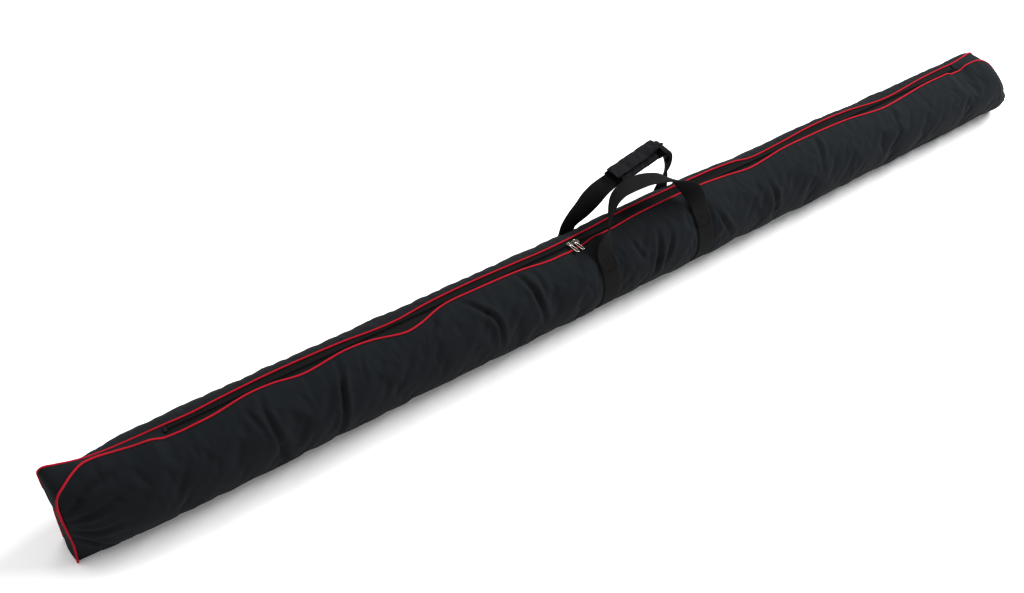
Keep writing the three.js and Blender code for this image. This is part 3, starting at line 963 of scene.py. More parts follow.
    def top_edge(self, side: Side, x: Array) -> tuple[Array, Array]:
        """Where the seam is at places along the bag: its distance back, and its height.

        Args:
            side: the side of the bag that the seam is on.
            x: places along the bag.

        Returns:
            How far back and how high the seam is at each place.
        """
        line = self.plain_seams[side]
        turn = int(np.argmax(line[:, 0] > -0.905)), len(line) - int(np.argmax(line[::-1, 0] < 0.905))
        run = line[turn[0] : turn[1]]
        order = np.maximum.accumulate(run[:, 0] + np.arange(len(run)) * 1e-9)
        return np.interp(x, order, run[:, 1]), np.interp(x, order, run[:, 2])

    @staticmethod
    def tuck(points: Array) -> Array:
        """Rolls the lower corner of the right end under the bag.

        Args:
            points: points near the outside of the bag.

        Returns:
            The points, rolled under near the right end.
        """
        near_end = smoothstep(0.86, 0.912, points[..., 0])
        low = np.clip(1 - points[..., 2] / 0.05, 0, 1) ** 2
        tucked = points.copy()
        tucked[..., 0] -= 17 * MM * near_end * low
        return tucked

    def flatness(self, x: Array) -> Array:
        """0 where the bag is round, 1 where it is as flat as its end.

        Args:
            x: places along the bag.

        Returns:
            The flatness at each place.
        """
        share = np.zeros_like(x)
        for end in End:
            start, power = self.taper_start[end], self.taper_power[end]
            along = np.clip((end.value * x - start) / (self.reach - start), 0, 1)
            share = np.maximum(share, along**power)
        return share

    def skin(self, stations: Array, columns: int) -> Array:
        """The panel's outer face, from the front seam down round the base to the back seam.

        Args:
            stations: places along the bag.
            columns: how many points each section has.

        Returns:
            Stations by columns by 3.
        """
        share = np.linspace(0, 1, columns)[None]
        x = stations[:, None]
        flat = self.flatness(stations)[:, None]
        front_y, front_z = (a[:, None] for a in self.top_edge(Side.FRONT, stations))
        back_y, back_z = (a[:, None] for a in self.top_edge(Side.BACK, stations))
        start = np.arctan2(-front_y, np.maximum(front_z - self.middle, 55 * MM))
        finish = 2 * math.pi - np.arctan2(back_y, np.maximum(back_z - self.middle, 55 * MM))
        angle = start + (finish - start) * share
        radius = self._radius(x, angle)
        y = -radius * np.sin(angle)
        z = self.middle + radius * np.cos(angle)
        floor = self._floor(x)
        z = floor + self._soft_positive(z - floor, 3 * MM)
        y, z = self._meet_seams(y, z, share, (front_y, front_z), (back_y, back_z), floor, flat)
        return self.tuck(np.stack([np.broadcast_to(x, y.shape), y, z], axis=-1))

    def _floor(self, x: Array) -> Array:
        """The lowest the skin goes: on the ground, or on a band's webbing.

        Args:
            x: places along the bag.

        Returns:
            The lowest height at each place.
        """
        floor = np.full_like(x, self.base)
        for band in self.bands:
            floor = floor + (self.seat - self.base) * (1 - smoothstep(14 * MM, 40 * MM, np.abs(x - band)))
        return floor

    @staticmethod
    def _soft_positive(height: Array, blur: float) -> Array:
        """Height above the floor, eased so that it never goes below it."""
        return 0.5 * (height + np.sqrt(height * height + blur * blur))

    def _radius(self, x: Array, angle: Array) -> Array:
        """The skin's distance from the middle line: padding that swells, sags and creases.

        Args:
            x: places along the bag.
            angle: angles round the bag, in radians.

        Returns:
            The distance at each place and angle.
        """
        bulge = 0.9 * wander(x, 0.31, 0.4) + 0.7 * wander(x + 0.02 * np.sin(angle), 0.12, 2.0)
        bulge = bulge + 0.6 * wander(x + 0.05 * angle, 0.07, 5.0) * np.sin(angle) ** 2
        radius = self.radius + MM * bulge * smoothstep(0.0, 0.6, np.sin(angle / 2) ** 2 * 2)
        for band in self.bands:
            away = np.abs(x - band)
            pinch = 1 - smoothstep(13 * MM, 34 * MM, away)
            swell = np.exp(-(((away - 42 * MM) / (20 * MM)) ** 2))
            radius = radius - self.band_pinch * pinch + 1.0 * MM * swell
            bulge_here = 1 - smoothstep(15 * MM, 24 * MM, away)
            radius = radius * (1 - bulge_here) + (self.radius - self.band_pinch) * bulge_here
        return radius

    def _meet_seams(
        self, y: Array, z: Array, share: Array, front: tuple, back: tuple, floor: Array, flat: Array
    ) -> tuple[Array, Array]:
        """Bends a round section to its two seams and, towards the ends, to the flat gusset.

        Args:
            y: the round section's distances back.
            z: its heights.
            share: how far round each point is, from 0 at the front seam to 1 at the back.
            front: the front seam's distance back and height.
            back: the back seam's distance back and height.
            floor: the lowest height there.
            flat: the flatness there.

        Returns:
            The bent section's distances back and heights.
        """
        height_front, height_back = front[1] - floor, back[1] - floor
        z0, z1 = z[:, :1], z[:, -1:]
        near_front = 1 - smoothstep(0.0, 0.16, share)
        near_back = smoothstep(0.84, 1.0, share)
        scale = np.where(share < 0.5, height_front / (z0 - floor), height_back / (z1 - floor))
        tall = np.maximum(scale, 1e-3)
        drop = np.minimum(tall, 1.0)
        z = floor + (z - floor) * np.where(tall < 0.97, drop, 1.0)
        side_share = np.clip(np.where(share < 0.5, share, 1 - share) / 0.42, 0, 1)
        foot = np.clip((np.abs(share - 0.5) / 0.08), 0, 1)
        flat_z = np.where(share < 0.5, height_front, height_back) * (1 - side_share) + floor
        flat_y = np.where(share < 0.5, -self.end_half, self.end_half) * foot
        puff = 1 + 0.9 * (1 - flat) * np.sin(side_share * math.pi) * flat
        y = y * (1 - flat) + flat_y * flat * puff
        z = z * (1 - flat) + flat_z * flat
        y = y + (front[0] - y[:, :1]) * near_front + (back[0] - y[:, -1:]) * near_back
        z = z + (front[1] - z[:, :1]) * near_front + (back[1] - z[:, -1:]) * near_back
        return y, z


@dataclass
class MainPanel:
    """The padded skin of the bag: its fabric, foam and lining."""

    form: BagForm
    step: float = 2.9 * MM
    columns: int = 119
    swell_cap: float = 5 * MM
    frames: int = 20

    def stations(self) -> Array:
        """Places of the sections, closer together towards the ends."""
        reach = self.form.reach - 0.6 * MM
        middle = np.arange(-0.86, 0.8601, self.step)
        ends = 0.86 + (reach - 0.86) * np.sin(np.linspace(0, math.pi / 2, 22)[1:])
        return np.concatenate([-ends[::-1], middle, ends])

    def build(self) -> bpy.types.Object:
        """Makes the fabric, then the layers inside it."""
        stations = self.stations()
        calm = self._swell(self.form.skin(stations, self.columns))
        skin = self._crease(calm)
        self.surface = skin
        panel = self._layer("panel_fabric", skin, 0.0, 1.0 * MM)
        place(panel, Finish.FABRIC, Body.BAG, "main_panel")
        foam = self._layer("panel_foam", calm[::2, ::2], 5.2 * MM, 2.6 * MM, 8 * MM)
        place(foam, Finish.FOAM, Body.BAG, "foam_pad")
        lining = self._layer("panel_lining", calm[::2, ::2], 8.2 * MM, 0.6 * MM, 8 * MM)
        place(lining, Finish.LINING, Body.BAG, "lining")
        return panel

    def _swell(self, skin: Array) -> Array:
        """Lets the fabric billow between its seams and bands, as a cloth under inside pressure.

        Args:
            skin: the skin's grid of points.

        Returns:
            The billowed grid.
        """
        rows, columns = skin.shape[:2]
        draft = Draft()
        draft.grid(skin)
        cloth = draft.build("swelling_panel")
        held = np.zeros((rows, columns))
        share = np.linspace(0, 1, columns)[None]
        held[:] = 1 - smoothstep(0.02, 0.10, np.minimum(share, 1 - share))
        held = np.maximum(held, smoothstep(0.40, 0.46, share) * (1 - smoothstep(0.54, 0.60, share)))
        x = skin[:, :1, 0]
        for band in self.form.bands:
            held = np.maximum(held, 1 - smoothstep(15 * MM, 24 * MM, np.abs(x - band)))
        held = np.maximum(held, smoothstep(0.880, 0.905, np.abs(x)))
        group = cloth.vertex_groups.new(name="held")
        for number, weight in enumerate(held.ravel()):
            if weight > 0.001:
                group.add([number], float(weight), "REPLACE")
        modifier = cloth.modifiers.new("billow", "CLOTH")
        settings = modifier.settings
        settings.quality = 5
        settings.mass = 0.3
        settings.tension_stiffness = settings.compression_stiffness = 25
        settings.shear_stiffness = 12
        settings.bending_stiffness = 1.5
        settings.use_pressure = True
        settings.uniform_pressure_force = 4.0
        settings.shrink_min = -0.012
        settings.vertex_group_mass = "held"
        settings.effector_weights.gravity = 0
        modifier.collision_settings.use_collision = False
        scene = bpy.context.scene
        for number in range(1, self.frames + 1):
            scene.frame_set(number)
        view = bpy.context.evaluated_depsgraph_get()
        moved = np.array([v.co[:] for v in cloth.evaluated_get(view).data.vertices])
        scene.frame_set(1)
        bpy.data.objects.remove(cloth)
        shift = moved.reshape(skin.shape) - skin
        if not np.isfinite(shift).all():
            log.warning("the billow was left out, because it did not settle")
            return skin
        length = np.linalg.norm(shift, axis=-1, keepdims=True)
        shift = shift * np.minimum(1, self.swell_cap / np.maximum(length, 1e-9))
        swollen = skin + shift
        swollen[..., 2] = np.maximum(swollen[..., 2], 0.6 * MM)
        log.info("the panel swelled by up to %.1f mm", length.max() / MM)
        return swollen

    def _crease(self, skin: Array) -> Array:
        """Presses the folds into the skin.

        Args:
            skin: the skin's grid of points.

        Returns:
            The grid with its folds.
        """
        normal = grid_normals(skin)
        angle = np.arctan2(-skin[..., 1], skin[..., 2] - self.form.middle)
        x = skin[..., 0]
        press = np.zeros_like(x)
        around = 61 * MM
        for fold in self.form.FOLDS:
            spots = np.array([(a, math.radians(b) * around) for a, b in fold.spots])
            line = smooth_line(spots, 2 * MM)
            flat = np.stack([x, angle * around], axis=-1)
            box = np.abs(x - line[:, 0].mean()) < np.ptp(line[:, 0]) / 2 + 6 * fold.width
            near = flat[box]
            gap = near[:, None] - line[None]
            distance = np.hypot(gap[..., 0], gap[..., 1])
            best = distance.argmin(axis=1)
            away = distance[np.arange(len(near)), best]
            side = np.sign(gap[np.arange(len(near)), best][:, 0] + 1e-12)
            along = best / (len(line) - 1)
            strength = np.sin(np.clip(along, 0.02, 0.98) * math.pi) ** 0.6
            valley = np.exp(-((away / (0.42 * fold.width)) ** 1.6))
            ridge = fold.shoulder * np.exp(-(((away - 1.2 * fold.width) / (0.7 * fold.width)) ** 2))
            ridge *= np.where(side > 0, 1.0, 0.45)
            change = (ridge - valley) * fold.depth * 1.35 * strength
            press[box] += change
        edge = smoothstep(0.0, 0.035, np.linspace(0, 1, skin.shape[1]))[None]
        edge = edge * edge[:, ::-1]
        for band in self.form.bands:
            edge = edge * smoothstep(15 * MM, 22 * MM, np.abs(x - band))
        pucker = self._puckers(skin)
        creased = skin + normal * ((press * edge) + pucker)[..., None]
        creased[..., 2] = np.maximum(creased[..., 2], 0.5 * MM)
        return self.form.under_pulls(creased, 0.6 * MM)

    def _puckers(self, skin: Array) -> Array:
        """Short gathers where the padded fabric is sewn to the piping and to the bands.

        Args:
            skin: the skin's grid of points.

        Returns:
            How far the gathers move each point.
        """
        x = skin[..., 0]
        share = np.linspace(0, 1, skin.shape[1])[None]
        near_seam = np.exp(-((share / 0.065) ** 2)) * smoothstep(0.0, 0.012, share)
        near_seam = near_seam + np.exp(-(((1 - share) / 0.065) ** 2)) * smoothstep(0.0, 0.012, 1 - share)
        gather = wander(x, 0.047, 1.3) * 0.5 + wander(x, 0.021, 4.0) * 0.5
        pucker = 1.4 * MM * gather * near_seam
        angle = share * 2 * math.pi
        for band in self.form.bands:
            away = np.abs(x - band)
            beside = np.exp(-(((away - 22 * MM) / (9 * MM)) ** 2)) * smoothstep(15 * MM, 19 * MM, away)
            pucker = pucker + 0.8 * MM * beside * wander(angle + 0.4 * np.sign(x - band), 0.9, 2.2)
        return pucker * smoothstep(0.0, 0.03, np.minimum(share, 1 - share))

    @staticmethod
    def _layer(name: str, skin: Array, inset: float, thickness: float, hem: float = 0.0) -> bpy.types.Object:
        """A closed layer that follows the skin, inset from it.

        Args:
            name: the object's name.
            skin: the skin's grid of points.
            inset: how far inside the skin its outer face is.
            thickness: how thick it is.
            hem: how much is left off round its edge.

        Returns:
            The new object.
        """
        normal = grid_normals(skin)
        outer, inner = skin - normal * inset, skin - normal * (inset + thickness)
        if hem:
            cut = max(1, round(hem / (4 * MM)))
            outer, inner = outer[cut:-cut, cut:-cut], inner[cut:-cut, cut:-cut]
        draft = Draft()
        draft.grid(outer)
        start = draft.grid(inner[:, ::-1])
        rows, columns = outer.shape[:2]
        rim = [(i, 0) for i in range(rows)] + [(rows - 1, j) for j in range(1, columns)]
        rim += [(i, columns - 1) for i in range(rows - 2, -1, -1)]
        rim += [(0, j) for j in range(columns - 2, 0, -1)]
        front = [i * columns + j for i, j in rim]
        back = [start + i * columns + (columns - 1 - j) for i, j in rim]
        draft.faces.extend(zip(front, front[1:] + front[:1], back[1:] + back[:1], back))
        return draft.build(name)


def grid_normals(grid: Array) -> Array:
    """Outward normals of the skin's grid of points.

    Args:
        grid: points in rows and columns.

    Returns:
        One unit vector for each point.
    """
    along = np.gradient(grid, axis=0)
    around = np.gradient(grid, axis=1)
    return unit(np.cross(around, along))


@dataclass
class EndGusset:
    """The narrow strip that closes one end, between the two seams."""

    form: BagForm
    end: End
    columns: int = 15

    def build(self) -> bpy.types.Object:
        """Makes the strip."""
        lines = [self._run(side) for side in Side]
        share = np.linspace(0, 1, self.columns)[None, :, None]
        sheet = lines[0][:, None] * (1 - share) + lines[1][:, None] * share
        along = np.linspace(0, 1, len(sheet))[:, None]
        normal = grid_normals(sheet)
        outwards = np.sign((normal[-10, self.columns // 2, 0]) * self.end.value)
        swell = np.sin(share[..., 0] * math.pi) ** 0.8
        depth = 1.5 * MM * (1 - smoothstep(0.1, 0.4, along)) * -1
        depth = depth + (4.5 if self.end is End.RIGHT else 2.0) * MM * smoothstep(0.35, 0.7, along)
        ripple = 0.8 * MM * wander(along * 0.3 + share[..., 0] * 0.05, 0.08, 2.0 + self.end.value)
        sheet = sheet + normal * outwards * (swell * (depth + ripple))[..., None]
        inner = sheet - normal * outwards * 1.0 * MM
        draft = Draft()
        rings = np.concatenate([sheet, inner[:, ::-1]], axis=1)
        draft.tube(rings)
        name = self.end.name.lower()
        piece = draft.build(f"gusset_{name}")
        return place(piece, Finish.FABRIC, Body.BAG, f"end_gusset_{name}")

    def _run(self, side: Side) -> Array:
        """One seam from the zip's end to the foot, in a set number of steps.

        Args:
            side: the side of the bag that the seam is on.

        Returns:
            The run's points, one per row.
        """
        line = self.form.seams[side]
        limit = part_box("zip_tape_front")[1].x
        run = line[line[:, 0] * self.end.value > limit - 4.0 * MM]
        if self.end is End.LEFT:
            run = run[::-1]
        return evenly(run, np.linalg.norm(np.diff(run, axis=0), axis=1).sum() / 90)


@dataclass
class Piping:
    """A covered cord sewn into one seam; the row of stitches beside it is made apart, by SeamStitches."""

    form: BagForm
    side: Side
    radius: float = 1.5 * MM

    def build(self) -> None:
        """Makes the cord."""
        line = self.form.seams[self.side]
        wobble = 1 + 0.05 * wander(line[:, 0] + line[:, 2], 0.013, 1.0 + self.side.value)
        rings = sweep(line, round_profile(1.0, 12), np.array([0.0, 1.0, 0.0]))
        rings = line[:, None] + (rings - line[:, None]) * (self.radius * wobble)[:, None, None]
        draft = Draft()
        draft.tube(rings)
        name = self.side.name.lower()
        place(draft.build(f"piping_cord_{name}"), Finish.PIPING, Body.BAG, f"piping_{name}")


@dataclass
class SeamStitches:
    """Rows of thread: short rounded stitches along a line on a surface."""

    name: str
    pitch: float = 4.0 * MM
    length: float = 2.9 * MM
    radius: float = 0.28 * MM

    def build(self, lines: Sequence[tuple[Array, Array]], body: Body, *stands_for: str) -> bpy.types.Object:
        """Makes the stitches.

        Args:
            lines: for each row, its points and the surface's normals there.
            body: the body that the thread rides on.
            stands_for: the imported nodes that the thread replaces.

        Returns:
            The piece.
        """
        draft = Draft()
        shape = np.array([(-0.5, 0.35), (-0.38, 0.9), (0.0, 1.0), (0.38, 0.9), (0.5, 0.35)])
        turn = np.arange(6) * math.pi / 3
        for line, normals in lines:
            run = np.concatenate([[0], np.cumsum(np.linalg.norm(np.diff(line, axis=0), axis=1))])
            at = np.arange(self.pitch / 2, run[-1], self.pitch)
            centre = np.stack([np.interp(at, run, line[:, k]) for k in range(3)], axis=1)
            up = unit(np.stack([np.interp(at, run, normals[:, k]) for k in range(3)], axis=1))
            ahead = np.stack([np.interp(at + 0.5 * MM, run, line[:, k]) for k in range(3)], axis=1)
            along = unit(ahead - centre + 1e-12)
            across = unit(np.cross(up, along))
            for c, a, b, u in zip(centre, along, across, up):
                rings = [
                    c + a * s * self.length + (b * np.cos(t) + u * np.sin(t)) * r * self.radius
                    for s, r in shape
                    for t in turn
                ]
                draft.tube(np.array(rings).reshape(len(shape), len(turn), 3))
        return place(draft.build(self.name), Finish.THREAD, body, *stands_for)


@dataclass
class Zip:
    """The zip between the seams: two tapes, two rows of teeth, and their stops."""

    form: BagForm
    tooth_pitch: float = 2.0 * MM

    def build(self) -> None:
        """Makes the tapes and teeth, and dresses the stops, sliders and pulls."""
        for side in Side:
            self._tape(side)
            self._teeth(side)
        for node in ("zip_stop_left", "zip_stop_right"):
            self._polish(node, Finish.STOP)
        for end in End:
            self._polish(f"slider_{end.name.lower()}", Finish.NICKEL)
            self._pull(end)

    @staticmethod
    def _polish(node: str, finish: Finish) -> None:
        """Gives a metal node its finish and a fine bevel.

        Args:
            node: the node to dress.
            finish: its finish.
        """
        piece = frame["nodes"][node]
        finish.dress(piece)
        bevel = piece.modifiers.new("eased_edges", "BEVEL")
        bevel.width = 0.12 * MM
        bevel.segments = 2
        bevel.limit_method = "ANGLE"

    def _pull(self, end: End) -> None:
        """One pull: a flat tab with a long window and a loop that holds the slider's bridge.

        Args:
            end: the end of the bag that its slider runs to.
        """
        name = end.name.lower()
        low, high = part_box(f"pull_{name}")
        middle = (low.x + high.x) / 2
        bottom, top = low.z + 0.02 * MM, low.z + 1.25 * MM
        turn = np.arange(48) * 2 * math.pi / 48
        reach, hinge = low.y, high.y - 1.1 * MM
        centre, half = (reach + hinge) / 2, (hinge - reach) / 2
        along = np.sign(np.cos(turn)) * np.abs(np.cos(turn)) ** 0.55
        waist = 0.82 + 0.18 * smoothstep(-0.2, 0.9, -along)
        outer_x = middle + np.sign(np.sin(turn)) * np.abs(np.sin(turn)) ** 0.55 * 3.1 * MM * waist
        outer_y = centre + along * half
        window = centre - 1.6 * MM
        inner_x = middle + np.sin(turn) * 1.35 * MM
        inner_y = window + np.sign(np.cos(turn)) * np.abs(np.cos(turn)) ** 0.6 * 6.6 * MM
        easing = ((0.0, 0.25, 0.12), (0.16, 0.0, 0.0), (0.84, 0.0, 0.0), (1.0, 0.25, 0.12))
        rings = []
        for share, inset_out, _ in easing:
            z = np.full_like(turn, bottom + (top - bottom) * share)
            shrink_x = (outer_x - middle) * (1 - inset_out * MM / (3.1 * MM))
            shrink_y = (outer_y - centre) * (1 - inset_out * MM / half)
            rings.append(np.stack([middle + shrink_x, centre + shrink_y, z], axis=1))
        for share, _, inset_in in easing[::-1]:
            z = np.full_like(turn, bottom + (top - bottom) * share)
            grow = 1 + inset_in * MM / (1.35 * MM)
            widened_x = middle + (inner_x - middle) * grow
            widened_y = window + (inner_y - window) * 1.02
            rings.append(np.stack([widened_x, widened_y, z], axis=1))
        rings.append(rings[0])
        draft = Draft()
        draft.grid(np.array(rings), closed=True)
        bow = np.linspace(0, math.pi, 15)
        hoop_y = high.y - 1.6 * MM
        span = 2.7 * MM
        arch_z = top - 0.6 * MM + (high.z - 0.7 * MM - top + 0.6 * MM) * np.sin(bow)
        arch = np.stack([middle + span * np.cos(bow), np.full_like(bow, hoop_y), arch_z], axis=1)
        draft.tube(sweep(arch, round_profile(0.65 * MM, 10), np.array([0.0, 1.0, 0.0])))
        piece = draft.build(f"pull_tab_{name}")
        place(piece, Finish.NICKEL, None, f"pull_{name}")
        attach(piece, f"{name}_pull")

    def _tape(self, side: Side) -> None:
        """One tape, from the teeth out and up to its seam.

        Args:
            side: the side of the zip that the tape is on.
        """
        name = side.name.lower()
        low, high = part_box(f"zip_tape_{name}")
        coil_low, coil_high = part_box(f"zip_coil_{name}")
        x = np.arange(low.x, high.x + 1e-6, 3 * MM)
        seam_y, seam_z = self.form.top_edge(side, x)
        inner_y = side.value * min(abs(coil_low.y), abs(coil_high.y)) + side.value * 0.4 * MM
        middle = (low.z + high.z) / 2
        share = np.linspace(0, 1, 9)[None]
        y = inner_y + (seam_y[:, None] - inner_y) * share
        rise = smoothstep(0.35, 1.0, share)
        z = middle + (seam_z[:, None] - 1.2 * MM - middle) * rise
        z = z + 0.15 * MM * wander(x[:, None], 0.033, 1.0 + side.value) * np.sin(share * math.pi)
        sheet = np.stack([np.broadcast_to(x[:, None], y.shape), y, z], axis=-1)
        inner = sheet - np.array([0, 0, 0.7 * MM])
        draft = Draft()
        draft.tube(np.concatenate([sheet, inner[:, ::-1]], axis=1))
        place(draft.build(f"tape_{name}"), Finish.TAPE, Body.BAG, f"zip_tape_{name}")

    def _teeth(self, side: Side) -> None:
        """One row of moulded teeth, set half a pitch off the other.

        Args:
            side: the side of the zip that the teeth are on.
        """
        name = side.name.lower()
        low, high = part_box(f"zip_coil_{name}")
        offset = 0.25 * self.tooth_pitch * (1 + side.value)
        places = np.arange(low.x + 1.2 * MM + offset, high.x - 1.2 * MM, self.tooth_pitch)
        near = min(abs(low.y), abs(high.y)) - 0.2 * MM
        far = max(abs(low.y), abs(high.y))
        middle = (low.z + high.z) / 2
        half_height = (high.z - low.z) / 2
        reach = np.array([0.0, 0.12, 0.5, 0.85, 1.0])
        size = np.array([0.55, 0.9, 1.0, 0.85, 0.5])
        turn = np.arange(6) * math.pi / 3 + math.pi / 6
        rings = []
        for r, s in zip(reach, size):
            y = side.value * (near + (far - near) * r)
            ring = [
                (0.62 * MM * s * math.cos(t) + 0.25 * MM * r, y, middle + half_height * s * math.sin(t))
                for t in turn
            ]
            rings.append(ring)
        tooth = np.array(rings)
        draft = Draft()
        for x in places:
            draft.tube(tooth + np.array([x, 0, 0]))
        place(draft.build(f"teeth_{name}"), Finish.COIL, Body.BAG, f"zip_coil_{name}")


@dataclass
class Band:
    """Webbing sewn round the bag under one foot of each loop."""

    form: BagForm
    name: str
    thickness: float = 1.5 * MM

    def build(self) -> None:
        """Makes the band."""
        low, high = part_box(f"handle_band_{self.name}")
        middle, width = (low.x + high.x) / 2, high.x - low.x
        line = band_line(self.form, middle)[0]
        profile = strap_profile(width, self.thickness, 15)
        rings = sweep(line, profile, np.array([1.0, 0.0, 0.0]))
        draft = Draft()
        draft.tube(rings)
        piece = draft.build(f"band_{self.name}")
        place(piece, Finish.WEBBING, Body.BAG, f"handle_band_{self.name}")


FRONT_FOOT = math.radians(38.24)
BACK_FOOT = math.radians(50.61)


def band_line(form: BagForm, middle: float) -> tuple[Array, Array]:
    """The middle of a band's thickness round the bag, from its front end to its back end.

    Args:
        form: the bag's form.
        middle: the band's place along the bag.

    Returns:
        The line's points, and the direction away from the bag at each.
    """
    angle = np.linspace(FRONT_FOOT - 0.04, 2 * math.pi - BACK_FOOT + 0.04, 120)
    radius = form.radius - form.band_pinch + 0.85 * MM
    y = -radius * np.sin(angle)
    z = form.middle + radius * np.cos(angle)
    z = np.maximum(z, 0.95 * MM)
    out = np.stack([np.zeros_like(y), -np.sin(angle), np.cos(angle)], axis=1)
    return np.stack([np.full_like(y, middle), y, z], axis=1), out


@dataclass(frozen=True)
class LoopLeg:
    """One leg of a loop: places along the bag, rises in the loop's plane, and turns in degrees."""

    spots: tuple[tuple[float, float, float], ...]

    def path(self) -> Array:
        """The leg as a smooth path of place, rise and turn."""
        given = [(x * MM, rise * MM, math.radians(turn) * 0.05) for x, rise, turn in self.spots]
        path = smooth_line(given, 2.5 * MM)
        path[:, 2] /= 0.05
        return path


@dataclass
class HandleLoop:
    """A free loop of webbing that stands above the bag and swings at its two feet."""

    side: Side
    lean: float
    left: LoopLeg
    right: LoopLeg
    foot_angle: float
    body: Body
    node: str
    form: BagForm
    thickness: float = 1.6 * MM
    overlap: float = 24 * MM

    def __post_init__(self) -> None:
        """Finds the loop's plane from its packed joint."""
        joint = next(j for j in frame["joints"] if j["child"] == self.body.value)
        origin = joint["pos_m"]
        self.foot = np.array([0.0, origin[1], origin[2]])
        tilt = math.radians(self.lean)
        self.up = np.array([0.0, math.sin(tilt), math.cos(tilt)])
        self.normal = np.array([0.0, math.cos(tilt), -math.sin(tilt)])

    def centre_line(self) -> tuple[Array, Array]:
        """The loop's middle line, foot to foot, and the direction across the webbing."""
        left, right = self.left.path(), self.right.path()
        bridge = np.linspace(left[-1], right[0], max(3, round((right[0][0] - left[-1][0]) / (2.5 * MM))))
        bridge = left[-1] + (right[0] - left[-1]) * np.linspace(0, 1, len(bridge))[:, None]
        path = np.vstack([left, bridge[1:-1], right])
        line = self.foot + path[:, 1:2] * self.up
        line[:, 0] = path[:, 0]
        tangent = unit(np.gradient(line, axis=0))
        tangent[0], tangent[-1] = self.up, -self.up
        in_plane = unit(np.cross(self.normal, tangent))
        across = self.normal * np.cos(path[:, 2:3]) + in_plane * np.sin(path[:, 2:3])
        return line, across

    def build(self) -> bpy.types.Object:
        """Makes the webbing, with its sewn ends lying on the bands."""
        line, across = self.centre_line()
        head, head_across = self._sewn_end(line[0], across[0])
        tail, tail_across = self._sewn_end(line[-1], across[-1])
        line = np.vstack([head, line[1:-1], tail[::-1]])
        across = np.vstack([head_across, across[1:-1], tail_across[::-1]])
        for _ in range(6):
            line[2:-2] = 0.25 * line[1:-3] + 0.5 * line[2:-2] + 0.25 * line[3:-1]
            across[2:-2] = unit(0.25 * across[1:-3] + 0.5 * across[2:-2] + 0.25 * across[3:-1])
        profile = strap_profile(30 * MM, self.thickness, 15)
        rings = sweep(line, profile, across)
        draft = Draft()
        draft.tube(rings)
        piece = draft.build(f"loop_{self.side.name.lower()}")
        place(piece, Finish.WEBBING, None, self.node)
        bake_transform(piece)
        return piece

    def _sewn_end(self, foot: Array, across: Array) -> tuple[Array, Array]:
        """The length of webbing that lies on the band under a foot, from its end up to the foot.

        Args:
            foot: where the loop leaves the bag.
            across: the direction across the webbing there.

        Returns:
            The length's points, and the direction across at each.
        """
        radius = self.form.radius - self.form.band_pinch + 0.85 * MM + 1.65 * MM
        steps = np.arange(self.overlap, -1e-9, -3 * MM)
        angle = self.foot_angle + steps / radius
        y = self.side.value * radius * np.sin(angle)
        z = self.form.middle + radius * np.cos(angle)
        line = np.stack([np.full_like(y, foot[0]), y, z], axis=1)
        return line, np.broadcast_to(across, line.shape).copy()

    def stitch_rows(self) -> list[tuple[Array, Array]]:
        """A box of stitches with a cross in it on each sewn end."""
        rows = []
        radius = self.form.radius - self.form.band_pinch + 0.85 * MM + 2.5 * MM
        for foot_x in (self.left.spots[0][0] * MM, self.right.spots[-1][0] * MM):
            corners = [(-12, 3), (12, 3), (12, 21), (-12, 21), (-12, 3)]
            strokes = list(zip(corners, corners[1:])) + [((-12, 3), (12, 21)), ((12, 3), (-12, 21))]
            for (ax, a_down), (bx, b_down) in strokes:
                share = np.linspace(0, 1, 9)
                x = foot_x + MM * (ax + (bx - ax) * share)
                angle = self.foot_angle + MM * (a_down + (b_down - a_down) * share) / radius
                out = np.stack([0 * x, self.side.value * np.sin(angle), np.cos(angle)], axis=1)
                line = out * radius
                line[:, 0] = x
                line[:, 2] += self.form.middle
                rows.append((line, out))
        return rows


